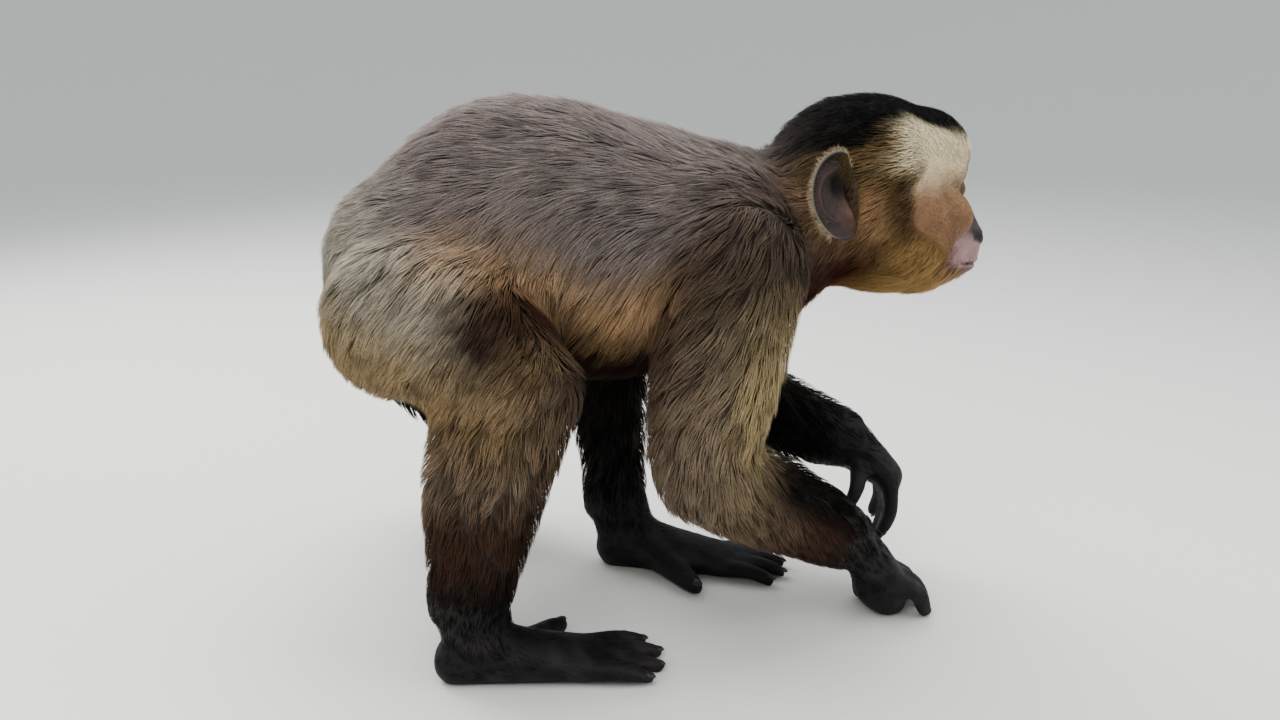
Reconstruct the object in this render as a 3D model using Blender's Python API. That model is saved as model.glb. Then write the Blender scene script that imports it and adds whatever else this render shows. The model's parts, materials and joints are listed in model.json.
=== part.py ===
"""Tufted capuchin monkey as a life-size still model, standing on both feet and one hand.

Torso, limbs, ears and tail are each melted together from overlapping lofts and ellipsoids,
then carved to meet with a hair's gap and parted with thin flat cuts into named pieces.
Metres, +X towards the nose, +Y to the animal's left, +Z up, floor at Z = 0.
"""

import math

import bmesh
import bpy
from mathutils import Matrix, Vector

# ---------------------------------------------------------------- driving dimensions
VOXEL = 0.0018          # grid of the remesh that melts masses together
EAR_VOXEL = 0.0012
MELT_PASSES = 5         # smoothing passes over that grid
CUT_GAP = 0.0005        # width of the cuts between the pieces
MERGE = 0.00002         # edges shorter than this are dissolved
FIT_GAP = 0.0004        # gap where one piece nestles into another
EAR_GAP = 0.0011        # the same at the root of each ear, before it is thinned
NECK_LEAN = (0.905, 0.0, 0.425)  # across the cuts at the neck
FLOOR_SINK = 0.0012     # how far soles and fingertips are pressed flat on the floor
RING_SIDES = 28
TAIL_SIDES = 10

SPINE = (  # upright rings along the back: x, z, half width, half depth, rump to neck
    (-0.142, 0.2110, 0.0360, 0.0450),
    (-0.126, 0.2160, 0.0470, 0.0575),
    (-0.098, 0.2247, 0.0530, 0.0697),
    (-0.064, 0.2277, 0.0560, 0.0743),
    (-0.028, 0.2237, 0.0565, 0.0737),
    (0.008, 0.2187, 0.0560, 0.0677),
    (0.040, 0.2180, 0.0520, 0.0610),
    (0.064, 0.2205, 0.0450, 0.0500),
    (0.084, 0.2245, 0.0380, 0.0410),
    (0.100, 0.2310, 0.0330, 0.0310),
)

HEAD_CENTRE = Vector((0.1245, 0.004, 0.2455))
HEAD_YAW = math.radians(11.0)
HEAD_ROLL = math.radians(-4.0)  # the left side of the head is the lower one
EYE_RADIUS = 0.0086
EYE_APART = 0.0130      # from the middle of the face to each eye's centre
EYE_FORWARD = 0.0352
EYE_HEIGHT = 0.0045
EAR_HEIGHT = 0.0430
EAR_WIDTH = 0.0330
EAR_WALL = 0.0030

RIGHT, LEFT = -1, 1
SIDE_NAMES = {RIGHT: "right", LEFT: "left"}
SHOULDER = {RIGHT: (0.047, -0.049, 0.217), LEFT: (0.050, 0.048, 0.214)}
ELBOW = {RIGHT: (0.0290, -0.0580, 0.1160), LEFT: (0.0460, 0.0780, 0.1240)}
WRIST = {RIGHT: (0.1190, -0.0080, 0.0540), LEFT: (0.1290, 0.0620, 0.0880)}
HIP = {RIGHT: (-0.118, -0.036, 0.205), LEFT: (-0.112, 0.036, 0.205)}
KNEE = {RIGHT: (-0.048, -0.072, 0.158), LEFT: (-0.012, 0.078, 0.160)}
ANKLE = {RIGHT: (-0.0890, -0.0630, 0.0400), LEFT: (-0.0140, 0.0730, 0.0400)}
HEEL = {RIGHT: (-0.1000, -0.0650, 0.0110), LEFT: (-0.0190, 0.0720, 0.0110)}
FOOT_HEADING = {RIGHT: math.radians(7.0), LEFT: math.radians(-8.0)}
CALF = {RIGHT: (-0.0780, -0.0690, 0.1130), LEFT: (-0.0210, 0.0770, 0.1130)}
FRINGE_RISE = {RIGHT: 0.0015, LEFT: -0.0030}    # how the forearm's long hair lies
CALF_DEPTH = {RIGHT: 0.0335, LEFT: 0.0270}

TAIL_PATH = (  # root, round behind the left thigh and down to the curled tip
    (-0.138, 0.001, 0.2180),
    (-0.156, 0.008, 0.2040),
    (-0.1655, 0.030, 0.1800),
    (-0.171, 0.060, 0.1550),
    (-0.165, 0.090, 0.1300),
    (-0.150, 0.112, 0.1060),
    (-0.133, 0.125, 0.0820),
    (-0.1185, 0.130, 0.0600),
)
TAIL_CURL_TURNS = 1.35
TAIL_CURL_RADIUS = 0.0215
TAIL_CURL_PITCH = -0.035        # sideways step of each turn
TAIL_RADII = (0.0175, 0.0115)   # with its fur, at the root and at the tip

FINGER_LENGTHS = (0.029, 0.034, 0.033, 0.027)
FINGER_RADIUS = 0.0046
PALM_LENGTH = 0.036
PALM_WIDTH = 0.0300
TOE_LENGTHS = (0.031, 0.036, 0.035, 0.030)
TOE_RADIUS = 0.0047
FOOT_LENGTH = 0.123     # heel to the longest toe
FOOT_WIDTH = 0.035
HALLUX_LENGTH = 0.048

TRIANGLES = {"trunk": 640, "neck": 180, "head": 1380, "ear": 220, "arm": 740, "leg": 820}

FUR_BROWN = (0.19, 0.12, 0.075, 1.0)
FUR_TAN = (0.36, 0.25, 0.15, 1.0)
FUR_BLACK = (0.020, 0.017, 0.016, 1.0)
FACE_SKIN = (0.50, 0.33, 0.25, 1.0)
EAR_SKIN = (0.17, 0.12, 0.12, 1.0)
EYE_BROWN = (0.035, 0.016, 0.008, 1.0)


# ---------------------------------------------------------------- shape helpers
def catmull_rom(rows, per_span):
    """Rows of numbers joined by a smooth curve that passes through each of them."""
    count = len(rows)
    out = []
    for i in range(count - 1):
        p0, p1 = rows[max(i - 1, 0)], rows[i]
        p2, p3 = rows[i + 1], rows[min(i + 2, count - 1)]
        for k in range(per_span):
            t = k / per_span
            out.append(tuple(
                0.5 * (2 * b + (c - a) * t + (2 * a - 5 * b + 4 * c - d) * t * t
                       + (3 * b - a - 3 * c + d) * t ** 3)
                for a, b, c, d in zip(p0, p1, p2, p3)
            ))
    out.append(tuple(rows[-1]))
    return out


DOME_ANGLES = (80.0, 55.0, 28.0)


def rings_along(stations, side=(0.0, 1.0, 0.0), per_span=6, along=None):
    """Rings (centre, direction, width, depth) through stations (x, y, z, width, depth).

    The width lies along side, the depth across side and path. A fixed direction given as
    along keeps the rings parallel; otherwise each ring stands square to the path.
    """
    rows = catmull_rom(stations, per_span)
    side = Vector(side)
    rings = []
    last = len(rows) - 1
    for i, row in enumerate(rows):
        ahead, behind = rows[min(i + 1, last)], rows[max(i - 1, 0)]
        course = Vector(along or Vector(ahead[:3]) - Vector(behind[:3])).normalized()
        across = course.cross(side).normalized()
        wide = across.cross(course).normalized()
        rings.append((Vector(row[:3]), course, wide * row[3], across * row[4]))
    return rings


def dome(ring, degrees):
    """One ring of a rounded end, at an angle round the dome."""
    centre, along, wide, deep = ring
    swell = 0.8 * min(wide.length, deep.length)
    angle = math.radians(degrees)
    return (centre + along * swell * math.sin(angle), along,
            wide * math.cos(angle), deep * math.cos(angle))


def skin_rings(bm, rings, domed=(True, True), sides=RING_SIDES):
    """Adds a closed tube over the rings, with each end domed or flat."""
    shaped = list(rings)
    if domed[0]:
        shaped = [dome(rings[0], -angle) for angle in DOME_ANGLES] + shaped
    if domed[1]:
        shaped += [dome(rings[-1], angle) for angle in reversed(DOME_ANGLES)]
    loops = []
    for centre, _, wide, deep in shaped:
        loops.append([
            bm.verts.new(centre + wide * math.cos(t) + deep * math.sin(t))
            for t in (2 * math.pi * k / sides for k in range(sides))
        ])
    for first, second in zip(loops, loops[1:]):
        for k in range(sides):
            n = (k + 1) % sides
            bm.faces.new((first[k], first[n], second[n], second[k]))
    bm.faces.new(loops[0][::-1])
    bm.faces.new(loops[-1])


def loft(bm, stations, side=(0.0, 1.0, 0.0), per_span=6, along=None):
    """Adds a closed tube with domed ends through stations; see rings_along."""
    skin_rings(bm, rings_along(stations, side, per_span, along))


def ellipsoid(bm, centre, radii, turn=None):
    """Adds an ellipsoid; turn is a rotation matrix about its centre."""
    matrix = Matrix.Translation(centre) @ (turn or Matrix()) @ Matrix.Diagonal((*radii, 1.0))
    bmesh.ops.create_uvsphere(bm, u_segments=32, v_segments=20, radius=1.0, matrix=matrix)


def bone(bm, start, end, shape, side=(0.0, 1.0, 0.0)):
    """Adds one limb segment; shape rows are (share of its length, half width, half depth)."""
    start, end = Vector(start), Vector(end)
    loft(bm, [(*start.lerp(end, share), wide, deep) for share, wide, deep in shape], side)


def digit(bm, root, heading, towards, lengths, bends, radii):
    """Adds a finger or toe whose joints each turn from heading towards a direction."""
    point, aim = Vector(root), Vector(heading).normalized()
    axis = aim.cross(Vector(towards)).normalized()
    path = [point.copy()]
    for length, bend in zip(lengths, bends):
        aim = Matrix.Rotation(math.radians(bend), 3, axis) @ aim
        point = point + aim * length
        path.append(point.copy())
    share = [i / (len(path) - 1) for i in range(len(path))]
    loft(bm, [(*p, radii[0] + (radii[1] - radii[0]) * s, radii[0] + (radii[1] - radii[0]) * s)
              for p, s in zip(path, share)], side=axis, per_span=4)


# ---------------------------------------------------------------- body regions
def head_turn():
    return Matrix.Rotation(HEAD_YAW, 4, "Z") @ Matrix.Rotation(HEAD_ROLL, 4, "X")


def in_head(x, y, z):
    """A point given forward, left and up from the head's centre."""
    return HEAD_CENTRE + head_turn().to_3x3() @ Vector((x, y, z))


def add_head(bm):
    """Braincase with its cap of fur, brows, muzzle, cheeks, jaw and beard."""
    turn = head_turn()
    tilt = turn @ Matrix.Rotation(math.radians(8.0), 4, "Y")
    masses = (  # forward, left, up, then the three radii
        ((-0.0100, 0.0, 0.0125), (0.0510, 0.0430, 0.0425), turn),     # braincase and cap
        ((0.0220, 0.0, 0.0210), (0.0275, 0.0330, 0.0265), turn),      # forehead
        ((-0.0010, 0.0, -0.0160), (0.0400, 0.0400, 0.0340), tilt),    # cheeks and jaw hinge
        ((0.0180, 0.0, -0.0270), (0.0330, 0.0290, 0.0245), tilt),     # lower jaw and beard
        ((0.0390, 0.0, -0.0235), (0.0205, 0.0185, 0.0150), tilt),     # muzzle
        ((0.0540, 0.0, -0.0215), (0.0078, 0.0108, 0.0065), turn),     # nose pad
        ((0.0490, 0.0, -0.0330), (0.0090, 0.0130, 0.0060), turn),     # upper lip
        ((0.0430, 0.0, -0.0400), (0.0105, 0.0130, 0.0065), turn),     # lower lip and chin
    )
    for place, radii, rotation in masses:
        ellipsoid(bm, in_head(*place), radii, rotation)
    for side in (RIGHT, LEFT):
        ellipsoid(bm, in_head(0.0335, side * 0.0145, 0.0130), (0.0120, 0.0150, 0.0070), turn)
        ellipsoid(bm, in_head(0.0270, side * 0.0240, -0.0080), (0.0160, 0.0130, 0.0135), turn)
        ellipsoid(bm, in_head(0.0040, side * 0.0320, -0.0150), (0.0250, 0.0150, 0.0260), turn)
    loft(bm, [(*in_head(0.0360, 0.0, 0.0080), 0.0065, 0.0075),
              (*in_head(0.0460, 0.0, -0.0040), 0.0060, 0.0065),
              (*in_head(0.0530, 0.0, -0.0170), 0.0080, 0.0060)])


def add_torso(bm):
    loft(bm, [(x, 0.0, z, wide, deep) for x, z, wide, deep in SPINE], along=(1.0, 0.0, 0.0))
    ellipsoid(bm, (-0.020, 0.0, 0.190), (0.060, 0.048, 0.042))
    ellipsoid(bm, (0.050, 0.0, 0.198), (0.034, 0.042, 0.042))
    for side in (RIGHT, LEFT):
        ellipsoid(bm, (0.036, side * 0.026, 0.226), (0.045, 0.032, 0.046))
        ellipsoid(bm, (-0.106, side * 0.022, 0.204), (0.050, 0.036, 0.056))
    add_head(bm)


def ear_frame(side):
    """The ear's centre and its own axes: to its rear edge, to its top, out of its hollow."""
    turn = head_turn().to_3x3()
    out = (turn @ Vector((0.16, side * 0.98, 0.06))).normalized()
    up = turn @ Vector((-0.16, side * 0.12, 1.0))
    up = (up - out * up.dot(out)).normalized()
    rear = out.cross(up) * -side
    if rear.x > 0.0:
        rear.negate()
    return in_head(-0.0405, side * 0.0455, 0.0050), rear, up, out


def add_ear(bm, side):
    """A rounded cupped ear: rolled rim, hollow scapha, deeper concha and a stout root."""
    centre, rear, up, out = ear_frame(side)
    spokes, steps = 40, 10
    front, back = [], []
    for k in range(spokes):
        angle = 2 * math.pi * k / spokes
        across, along = math.cos(angle), math.sin(angle)
        reach = rear * 0.5 * EAR_WIDTH * across * (1.0 if across > 0 else 0.84)
        reach += up * 0.5 * EAR_HEIGHT * along * (1.0 - 0.06 * across)
        spoke_front, spoke_back = [], []
        for i in range(1, steps + 1):
            share = i / steps
            height = 0.0080 * share ** 2 + 0.0014 * math.exp(-((share - 0.92) / 0.08) ** 2)
            wall = EAR_WALL * (1.0 - 0.25 * share ** 6)
            spoke_front.append(bm.verts.new(centre + reach * share + out * height))
            spoke_back.append(bm.verts.new(centre + reach * share + out * (height - wall)))
        front.append(spoke_front)
        back.append(spoke_back)
    middle_front = bm.verts.new(centre)
    middle_back = bm.verts.new(centre - out * EAR_WALL)
    for k in range(spokes):
        n = (k + 1) % spokes
        bm.faces.new((middle_front, front[k][0], front[n][0]))
        bm.faces.new((middle_back, back[n][0], back[k][0]))
        for i in range(steps - 1):
            bm.faces.new((front[k][i], front[k][i + 1], front[n][i + 1], front[n][i]))
            bm.faces.new((back[n][i], back[n][i + 1], back[k][i + 1], back[k][i]))
        bm.faces.new((front[k][-1], back[k][-1], back[n][-1], front[n][-1]))
    turn = Matrix((rear, up, out)).transposed().to_4x4()
    ellipsoid(bm, centre - out * 0.0075 - rear * 0.0060, (0.0100, 0.0150, 0.0100), turn)


def add_arm(bm, side):
    shoulder, elbow, wrist = (Vector(joint[side]) for joint in (SHOULDER, ELBOW, WRIST))
    ellipsoid(bm, shoulder + Vector((0.002, 0.0, 0.000)), (0.037, 0.026, 0.042))
    bone(bm, shoulder, elbow, ((0.0, 0.0255, 0.036), (0.35, 0.0250, 0.0355),
                               (0.7, 0.0245, 0.0335), (1.0, 0.0225, 0.0275)))
    fringe = Vector((0.0, 0.0, FRINGE_RISE[side]))
    loft(bm, [(*elbow, 0.0235, 0.0275),
              (*(elbow.lerp(wrist, 0.30) + fringe), 0.0240, 0.0285),
              (*(elbow.lerp(wrist, 0.64) + fringe), 0.0200, 0.0255),
              (*wrist, 0.0146, 0.0180)])


def palm(bm, side, along, dorsal):
    """The palm from the wrist on; returns its far end and the three axes of the hand."""
    wrist, along = Vector(WRIST[side]), Vector(along).normalized()
    dorsal = Vector(dorsal)
    dorsal = (dorsal - along * dorsal.dot(along)).normalized()
    thumbwards = along.cross(dorsal) * side
    end = wrist + along * PALM_LENGTH
    loft(bm, [(*(wrist - along * 0.006), 0.0140, 0.0150),
              (*(wrist + along * 0.010), 0.0140, 0.0130),
              (*wrist.lerp(end, 0.65), PALM_WIDTH / 2, 0.0112),
              (*end, PALM_WIDTH / 2, 0.0090)], side=thumbwards)
    return end, along, dorsal, thumbwards


def add_leaning_hand(bm, side, along, dorsal):
    """The hand that bears weight: palm pads and fingertips down, fingers a little arched."""
    end, along, dorsal, thumbwards = palm(bm, side, along, dorsal)
    ahead = Vector((along.x, along.y, 0.0)).normalized()
    up = Vector((0.0, 0.0, 1.0))
    turn = Matrix((along, thumbwards, along.cross(thumbwards))).transposed().to_4x4()
    pads = end + along * 0.0090 - dorsal * 0.0095
    pads.z = 0.0158
    ellipsoid(bm, pads, (0.0200, PALM_WIDTH * 0.50, 0.0125), turn)
    for i, length in enumerate(FINGER_LENGTHS):
        place = 1.5 - i
        fan = (ahead + thumbwards * place * 0.12).normalized()
        root = end + thumbwards * place * 0.0080 - ahead * (0.002 + 0.0012 * abs(place))
        knuckle = root + fan * (0.46 * length) - up * 0.0055
        tip = knuckle + fan * (0.50 * length)
        tip.z = FINGER_RADIUS * 0.95
        bend = knuckle.lerp(tip, 0.50) + fan * 0.0020 + up * 0.0030
        radii = (FINGER_RADIUS * 1.10, FINGER_RADIUS * 1.04, FINGER_RADIUS, FINGER_RADIUS * 0.90)
        loft(bm, [(*p, r, r) for p, r in zip((root, knuckle, bend, tip), radii)],
             side=thumbwards, per_span=4)
    root = Vector(WRIST[side]) + along * 0.016 + thumbwards * 0.008 - dorsal * 0.004
    tip = root + ahead * 0.016 + thumbwards * 0.012
    tip.z = FINGER_RADIUS * 0.95
    loft(bm, [(*root, 0.0070, 0.0070), (*(root.lerp(tip, 0.55) + ahead * 0.004), 0.0058, 0.0058),
              (*tip, 0.0044, 0.0044)], side=thumbwards, per_span=4)


def add_limp_hand(bm, side, along, dorsal, bends):
    """The lifted hand: fingers hang in an easy curl, the thumb beside them."""
    end, along, dorsal, thumbwards = palm(bm, side, along, dorsal)
    for i, length in enumerate(FINGER_LENGTHS):
        place = 1.5 - i
        root = end + thumbwards * place * 0.0080 - along * (0.003 + 0.0012 * abs(place))
        digit(bm, root, along + thumbwards * place * 0.10, -dorsal,
              (0.006 + 0.44 * length, 0.32 * length, 0.24 * length), bends[i],
              (FINGER_RADIUS, FINGER_RADIUS * 0.82))
    root = Vector(WRIST[side]) + along * 0.010 + thumbwards * 0.009 - dorsal * 0.003
    digit(bm, root, along * 0.5 + thumbwards * 0.45 - dorsal * 0.7, -dorsal,
          (0.012, 0.010, 0.008), (0, 12, 14), (0.0056, 0.0040))


def add_leg(bm, side):
    hip, knee, calf, ankle = (Vector(joint[side]) for joint in (HIP, KNEE, CALF, ANKLE))
    deep = CALF_DEPTH[side]
    ellipsoid(bm, hip + Vector((-0.003, side * 0.002, -0.014)), (0.0430, 0.0350, 0.0440))
    bone(bm, hip, knee, ((0.0, 0.035, 0.043), (0.35, 0.035, 0.043),
                         (0.7, 0.031, 0.037), (1.0, 0.0255, 0.0290)))
    loft(bm, [(*(knee.lerp(calf, 0.30) + Vector((-0.006, 0.0, 0.010))), 0.0250, deep + 0.0010),
              (*calf, 0.0255, deep),
              (*calf.lerp(ankle, 0.55), 0.0205, 0.78 * deep),
              (*(ankle + Vector((-0.002, 0.0, 0.0))), 0.0155, 0.0205)])


def add_foot(bm, side):
    """Heel, instep, four long toes and the wide-set first toe."""
    heel, ankle = Vector(HEEL[side]), Vector(ANKLE[side])
    along = Matrix.Rotation(FOOT_HEADING[side], 3, "Z") @ Vector((1.0, 0.0, 0.0))
    outwards = Vector((-along.y, along.x, 0.0)) * side
    up = Vector((0.0, 0.0, 1.0))
    toe_root = heel + along * (FOOT_LENGTH - 0.012 - max(TOE_LENGTHS))
    toe_root.z = 0.0080
    loft(bm, [(*heel, 0.0115, 0.0122),
              (*(heel + along * 0.016 + up * 0.005), 0.0135, 0.0170),
              (*(heel + along * 0.036 + up * 0.002), 0.0160, 0.0135),
              (*(heel.lerp(toe_root, 0.80) + up * 0.0012), FOOT_WIDTH / 2, 0.0098),
              (*toe_root, FOOT_WIDTH / 2, 0.0078)], side=outwards)
    loft(bm, [(*(ankle + up * 0.004), 0.0150, 0.0190),
              (*(ankle + along * 0.003 - up * 0.012), 0.0138, 0.0180),
              (*(heel + along * 0.012 + up * 0.006), 0.0120, 0.0150)], side=outwards)
    for i, length in enumerate(TOE_LENGTHS):
        place = i - 1.5
        root = toe_root + outwards * place * 0.0092 - along * (0.004 + 0.0018 * abs(place))
        root.z = 0.0074
        digit(bm, root, along + outwards * place * 0.10 + up * 0.09, -up,
              (0.006 + 0.42 * length, 0.33 * length, 0.25 * length), (0, 14, 10),
              (TOE_RADIUS, 0.0038))
    root = heel + along * 0.028 - outwards * 0.003
    root.z = 0.0100
    digit(bm, root, along * 0.66 - outwards * 0.75 - up * 0.04, -up,
          (0.44 * HALLUX_LENGTH, 0.32 * HALLUX_LENGTH, 0.24 * HALLUX_LENGTH), (0, 1, 5),
          (0.0084, 0.0050))


def tail_points():
    """The tail's middle line: the chosen sweep, then an open helical curl."""
    rows = [Vector(p) for p in TAIL_PATH]
    last, before = rows[-1], rows[-2]
    aim = (last - before).normalized()
    inwards = Vector((-aim.z, 0.0, aim.x)).normalized()
    centre = last + inwards * TAIL_CURL_RADIUS
    start = math.atan2(last.z - centre.z, last.x - centre.x)
    steps = round(8 * TAIL_CURL_TURNS)
    for k in range(1, steps + 1):
        share = k / steps
        turned = TAIL_CURL_TURNS * share
        angle = start + 2 * math.pi * turned
        radius = TAIL_CURL_RADIUS * (1.0 - 0.20 * share)
        rows.append(Vector((centre.x + radius * math.cos(angle),
                            last.y + TAIL_CURL_PITCH * turned,
                            centre.z + radius * math.sin(angle))))
    return rows


def tail_stations():
    """The tail's middle line with its radius at each point."""
    rows = tail_points()
    count = len(rows) - 1
    slim = TAIL_RADII[1] - TAIL_RADII[0]
    return [(*p, TAIL_RADII[0] + slim * i / count, TAIL_RADII[0] + slim * i / count)
            for i, p in enumerate(rows)]


# ---------------------------------------------------------------- melting and parting
def new_object(name, bm):
    mesh = bpy.data.meshes.new(name)
    bm.to_mesh(mesh)
    bm.free()
    obj = bpy.data.objects.new(name, mesh)
    bpy.context.scene.collection.objects.link(obj)
    return obj


def applied(obj, *settings):
    """Adds modifiers one by one, given as (type, {setting: value}), and applies them."""
    for kind, values in settings:
        modifier = obj.modifiers.new(kind, kind)
        for key, value in values.items():
            setattr(modifier, key, value)
        graph = bpy.context.evaluated_depsgraph_get()
        mesh = bpy.data.meshes.new_from_object(obj.evaluated_get(graph))
        obj.modifiers.clear()
        obj.data = mesh
    return obj


def bmesh_of(obj):
    """Takes an object's surface back into a bmesh and removes the object."""
    bm = bmesh.new()
    bm.from_mesh(obj.data)
    bpy.data.objects.remove(obj)
    return bm


def cut_away(bm, point, outward):
    """Cuts the surface with a plane, drops what lies outward of it and caps the rim flat."""
    bmesh.ops.bisect_plane(bm, geom=[*bm.verts, *bm.edges, *bm.faces], dist=1e-7,
                           plane_co=point, plane_no=outward, clear_outer=True)
    rims = [edge for edge in bm.edges if edge.is_boundary]
    bmesh.ops.holes_fill(bm, edges=rims, sides=0)
    bmesh.ops.triangulate(bm, faces=bm.faces)


def thinned(obj, triangles):
    """Reduces a piece to about that many triangles."""
    count = sum(len(p.vertices) - 2 for p in obj.data.polygons)
    return applied(obj, ("DECIMATE", {"ratio": min(1.0, triangles / count)}),
                   ("TRIANGULATE", {}))


def melted(name, fill, voxel=VOXEL):
    """Melts the masses that fill adds into one smooth surface."""
    bm = bmesh.new()
    fill(bm)
    bmesh.ops.recalc_face_normals(bm, faces=bm.faces)
    return applied(new_object(name, bm),
                   ("REMESH", {"mode": "VOXEL", "voxel_size": voxel}),
                   ("SMOOTH", {"factor": 0.5, "iterations": MELT_PASSES}))


def stand_on_floor(obj):
    """Sinks a piece a little and cuts it flat at the floor."""
    name = obj.name
    bm = bmesh_of(obj)
    bmesh.ops.translate(bm, verts=bm.verts, vec=(0.0, 0.0, -FLOOR_SINK))
    cut_away(bm, (0.0, 0.0, 0.0), (0.0, 0.0, -1.0))
    return new_object(name, bm)


def swollen(obj, gap):
    """A copy of a piece, grown by the gap."""
    bm = bmesh.new()
    bm.from_mesh(obj.data)
    bm.normal_update()
    moves = [(vert, vert.normal * gap * vert.calc_shell_factor()) for vert in bm.verts]
    for vert, move in moves:
        vert.co += move
    return new_object("swollen", bm)


def carve(obj, *neighbours, gap=FIT_GAP):
    """Cuts each neighbour, grown by the gap, out of a piece and keeps the largest remainder."""
    for neighbour in neighbours:
        cutter = swollen(neighbour, gap)
        applied(obj, ("BOOLEAN", {"operation": "DIFFERENCE", "object": cutter,
                                  "solver": "EXACT", "use_self": True}))
        bpy.data.objects.remove(cutter)
    bm = bmesh.new()
    bm.from_mesh(obj.data)
    bmesh.ops.triangulate(bm, faces=bm.faces)
    bmesh.ops.dissolve_degenerate(bm, edges=bm.edges, dist=MERGE)
    bmesh.ops.triangulate(bm, faces=bm.faces)
    largest = max(islands(bm), key=len)
    kept = set(largest)
    bmesh.ops.delete(bm, geom=[f for f in bm.faces if f not in kept], context="FACES")
    bm.to_mesh(obj.data)
    bm.free()


def islands(bm):
    """The separate closed surfaces, each as a list of faces."""
    seen, found = set(), []
    for face in bm.faces:
        if face in seen:
            continue
        group, queue = [], [face]
        seen.add(face)
        while queue:
            current = queue.pop()
            group.append(current)
            for edge in current.edges:
                for other in edge.link_faces:
                    if other not in seen:
                        seen.add(other)
                        queue.append(other)
        found.append(group)
    return found


def parted(obj, names, cuts):
    """Parts a piece by planes (point, direction) into one object per name, in that order."""
    whole = bmesh_of(obj)
    pieces = {}
    for i, name in enumerate(names):
        bm = whole.copy()
        if i > 0:
            point, ahead = Vector(cuts[i - 1][0]), Vector(cuts[i - 1][1]).normalized()
            cut_away(bm, point + ahead * CUT_GAP / 2, -ahead)
        if i < len(cuts):
            point, ahead = Vector(cuts[i][0]), Vector(cuts[i][1]).normalized()
            cut_away(bm, point - ahead * CUT_GAP / 2, ahead)
        kept = set(max(islands(bm), key=len))
        bmesh.ops.delete(bm, geom=[f for f in bm.faces if f not in kept], context="FACES")
        bmesh.ops.recalc_face_normals(bm, faces=bm.faces)
        pieces[name] = new_object(name, bm)
    whole.free()
    return pieces


# ---------------------------------------------------------------- the animal
def arm(side):
    """Upper arm, forearm and hand of one side, still in one piece."""
    leaning = side == RIGHT

    def fill(bm):
        add_arm(bm, side)
        if leaning:
            add_leaning_hand(bm, side, along=(0.78, 0.42, -0.80), dorsal=(0.60, 0.10, 0.80))
        else:
            add_limp_hand(bm, side, along=(0.72, -0.03, -0.62), dorsal=(0.66, 0.10, 0.72),
                          bends=((42, 22, 14), (40, 24, 16), (38, 24, 18), (38, 26, 20)))
    whole = thinned(melted("arm", fill), TRIANGLES["arm"])
    return stand_on_floor(whole) if leaning else whole


def leg(side):
    """Thigh, shank and foot of one side, still in one piece."""
    def fill(bm):
        add_leg(bm, side)
        add_foot(bm, side)
    return stand_on_floor(thinned(melted("leg", fill), TRIANGLES["leg"]))


def tail_pieces():
    """Three lengths of the tail as tubes, parted square to their middle line."""
    rings = rings_along(tail_stations(), side=(0.3, 1.0, 0.0), per_span=2)
    last = len(rings) - 1
    ends = (0, 8, 18, last)
    made = {}
    for name, start, stop in zip(("tail_base", "tail_middle", "tail_tip"), ends, ends[1:]):
        length = rings[start:stop + 1]
        if start > 0:
            centre, along, wide, deep = length[0]
            length[0] = (centre + along * CUT_GAP, along, wide, deep)
        bm = bmesh.new()
        skin_rings(bm, length, domed=(start == 0, stop == last), sides=TAIL_SIDES)
        bmesh.ops.triangulate(bm, faces=bm.faces)
        bmesh.ops.recalc_face_normals(bm, faces=bm.faces)
        made[name] = new_object(name, bm)
    return made


def eye_centre(side):
    return in_head(EYE_FORWARD, side * EYE_APART, EYE_HEIGHT)


def eyeball(side, name):
    bm = bmesh.new()
    bmesh.ops.create_uvsphere(bm, u_segments=12, v_segments=8, radius=EYE_RADIUS,
                              matrix=Matrix.Translation(eye_centre(side)))
    bmesh.ops.triangulate(bm, faces=bm.faces)
    return new_object(name, bm)


def limb_pieces(whole, side, names, joints):
    """Parts a limb across its two lower joints, square to the bend at each."""
    top, middle, end = (Vector(joint[side]) for joint in joints)
    bend = (middle - top).normalized() + (end - middle).normalized()
    cuts = [(middle, bend), (end, end - middle)]
    return parted(whole, [f"{name}_{SIDE_NAMES[side]}" for name in names], cuts)


def torso_pieces():
    """Trunk, neck and head, each thinned on its own."""
    torso = melted("torso", add_torso)
    pieces = parted(torso, ("trunk", "neck", "head"), (
        ((0.0610, 0.0, 0.2270), NECK_LEAN),
        ((0.0810, 0.0, 0.2340), NECK_LEAN),
    ))
    return {name: thinned(piece, TRIANGLES[name]) for name, piece in pieces.items()}


def build_animal():
    """All the pieces by name."""
    torso, tail = torso_pieces(), tail_pieces()
    carve(tail["tail_base"], torso["trunk"])
    pieces = torso | tail
    for side, word in SIDE_NAMES.items():
        ear = melted(f"ear_{word}", lambda bm, side=side: add_ear(bm, side), EAR_VOXEL)
        carve(ear, torso["head"], torso["neck"], gap=EAR_GAP)
        thinned(ear, TRIANGLES["ear"])
        whole_leg = leg(side)
        carve(whole_leg, torso["trunk"], tail["tail_base"])
        pieces |= limb_pieces(whole_leg, side, ("thigh", "shank", "foot"), (HIP, KNEE, ANKLE))
        whole_arm = arm(side)
        carve(whole_arm, torso["trunk"], torso["neck"], torso["head"], ear)
        pieces |= limb_pieces(whole_arm, side, ("upper_arm", "forearm", "hand"),
                              (SHOULDER, ELBOW, WRIST))
        pieces[ear.name] = ear
    for side, word in SIDE_NAMES.items():
        eye = eyeball(side, f"eye_{word}")
        carve(torso["head"], eye)
        pieces[eye.name] = eye
    return pieces


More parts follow.
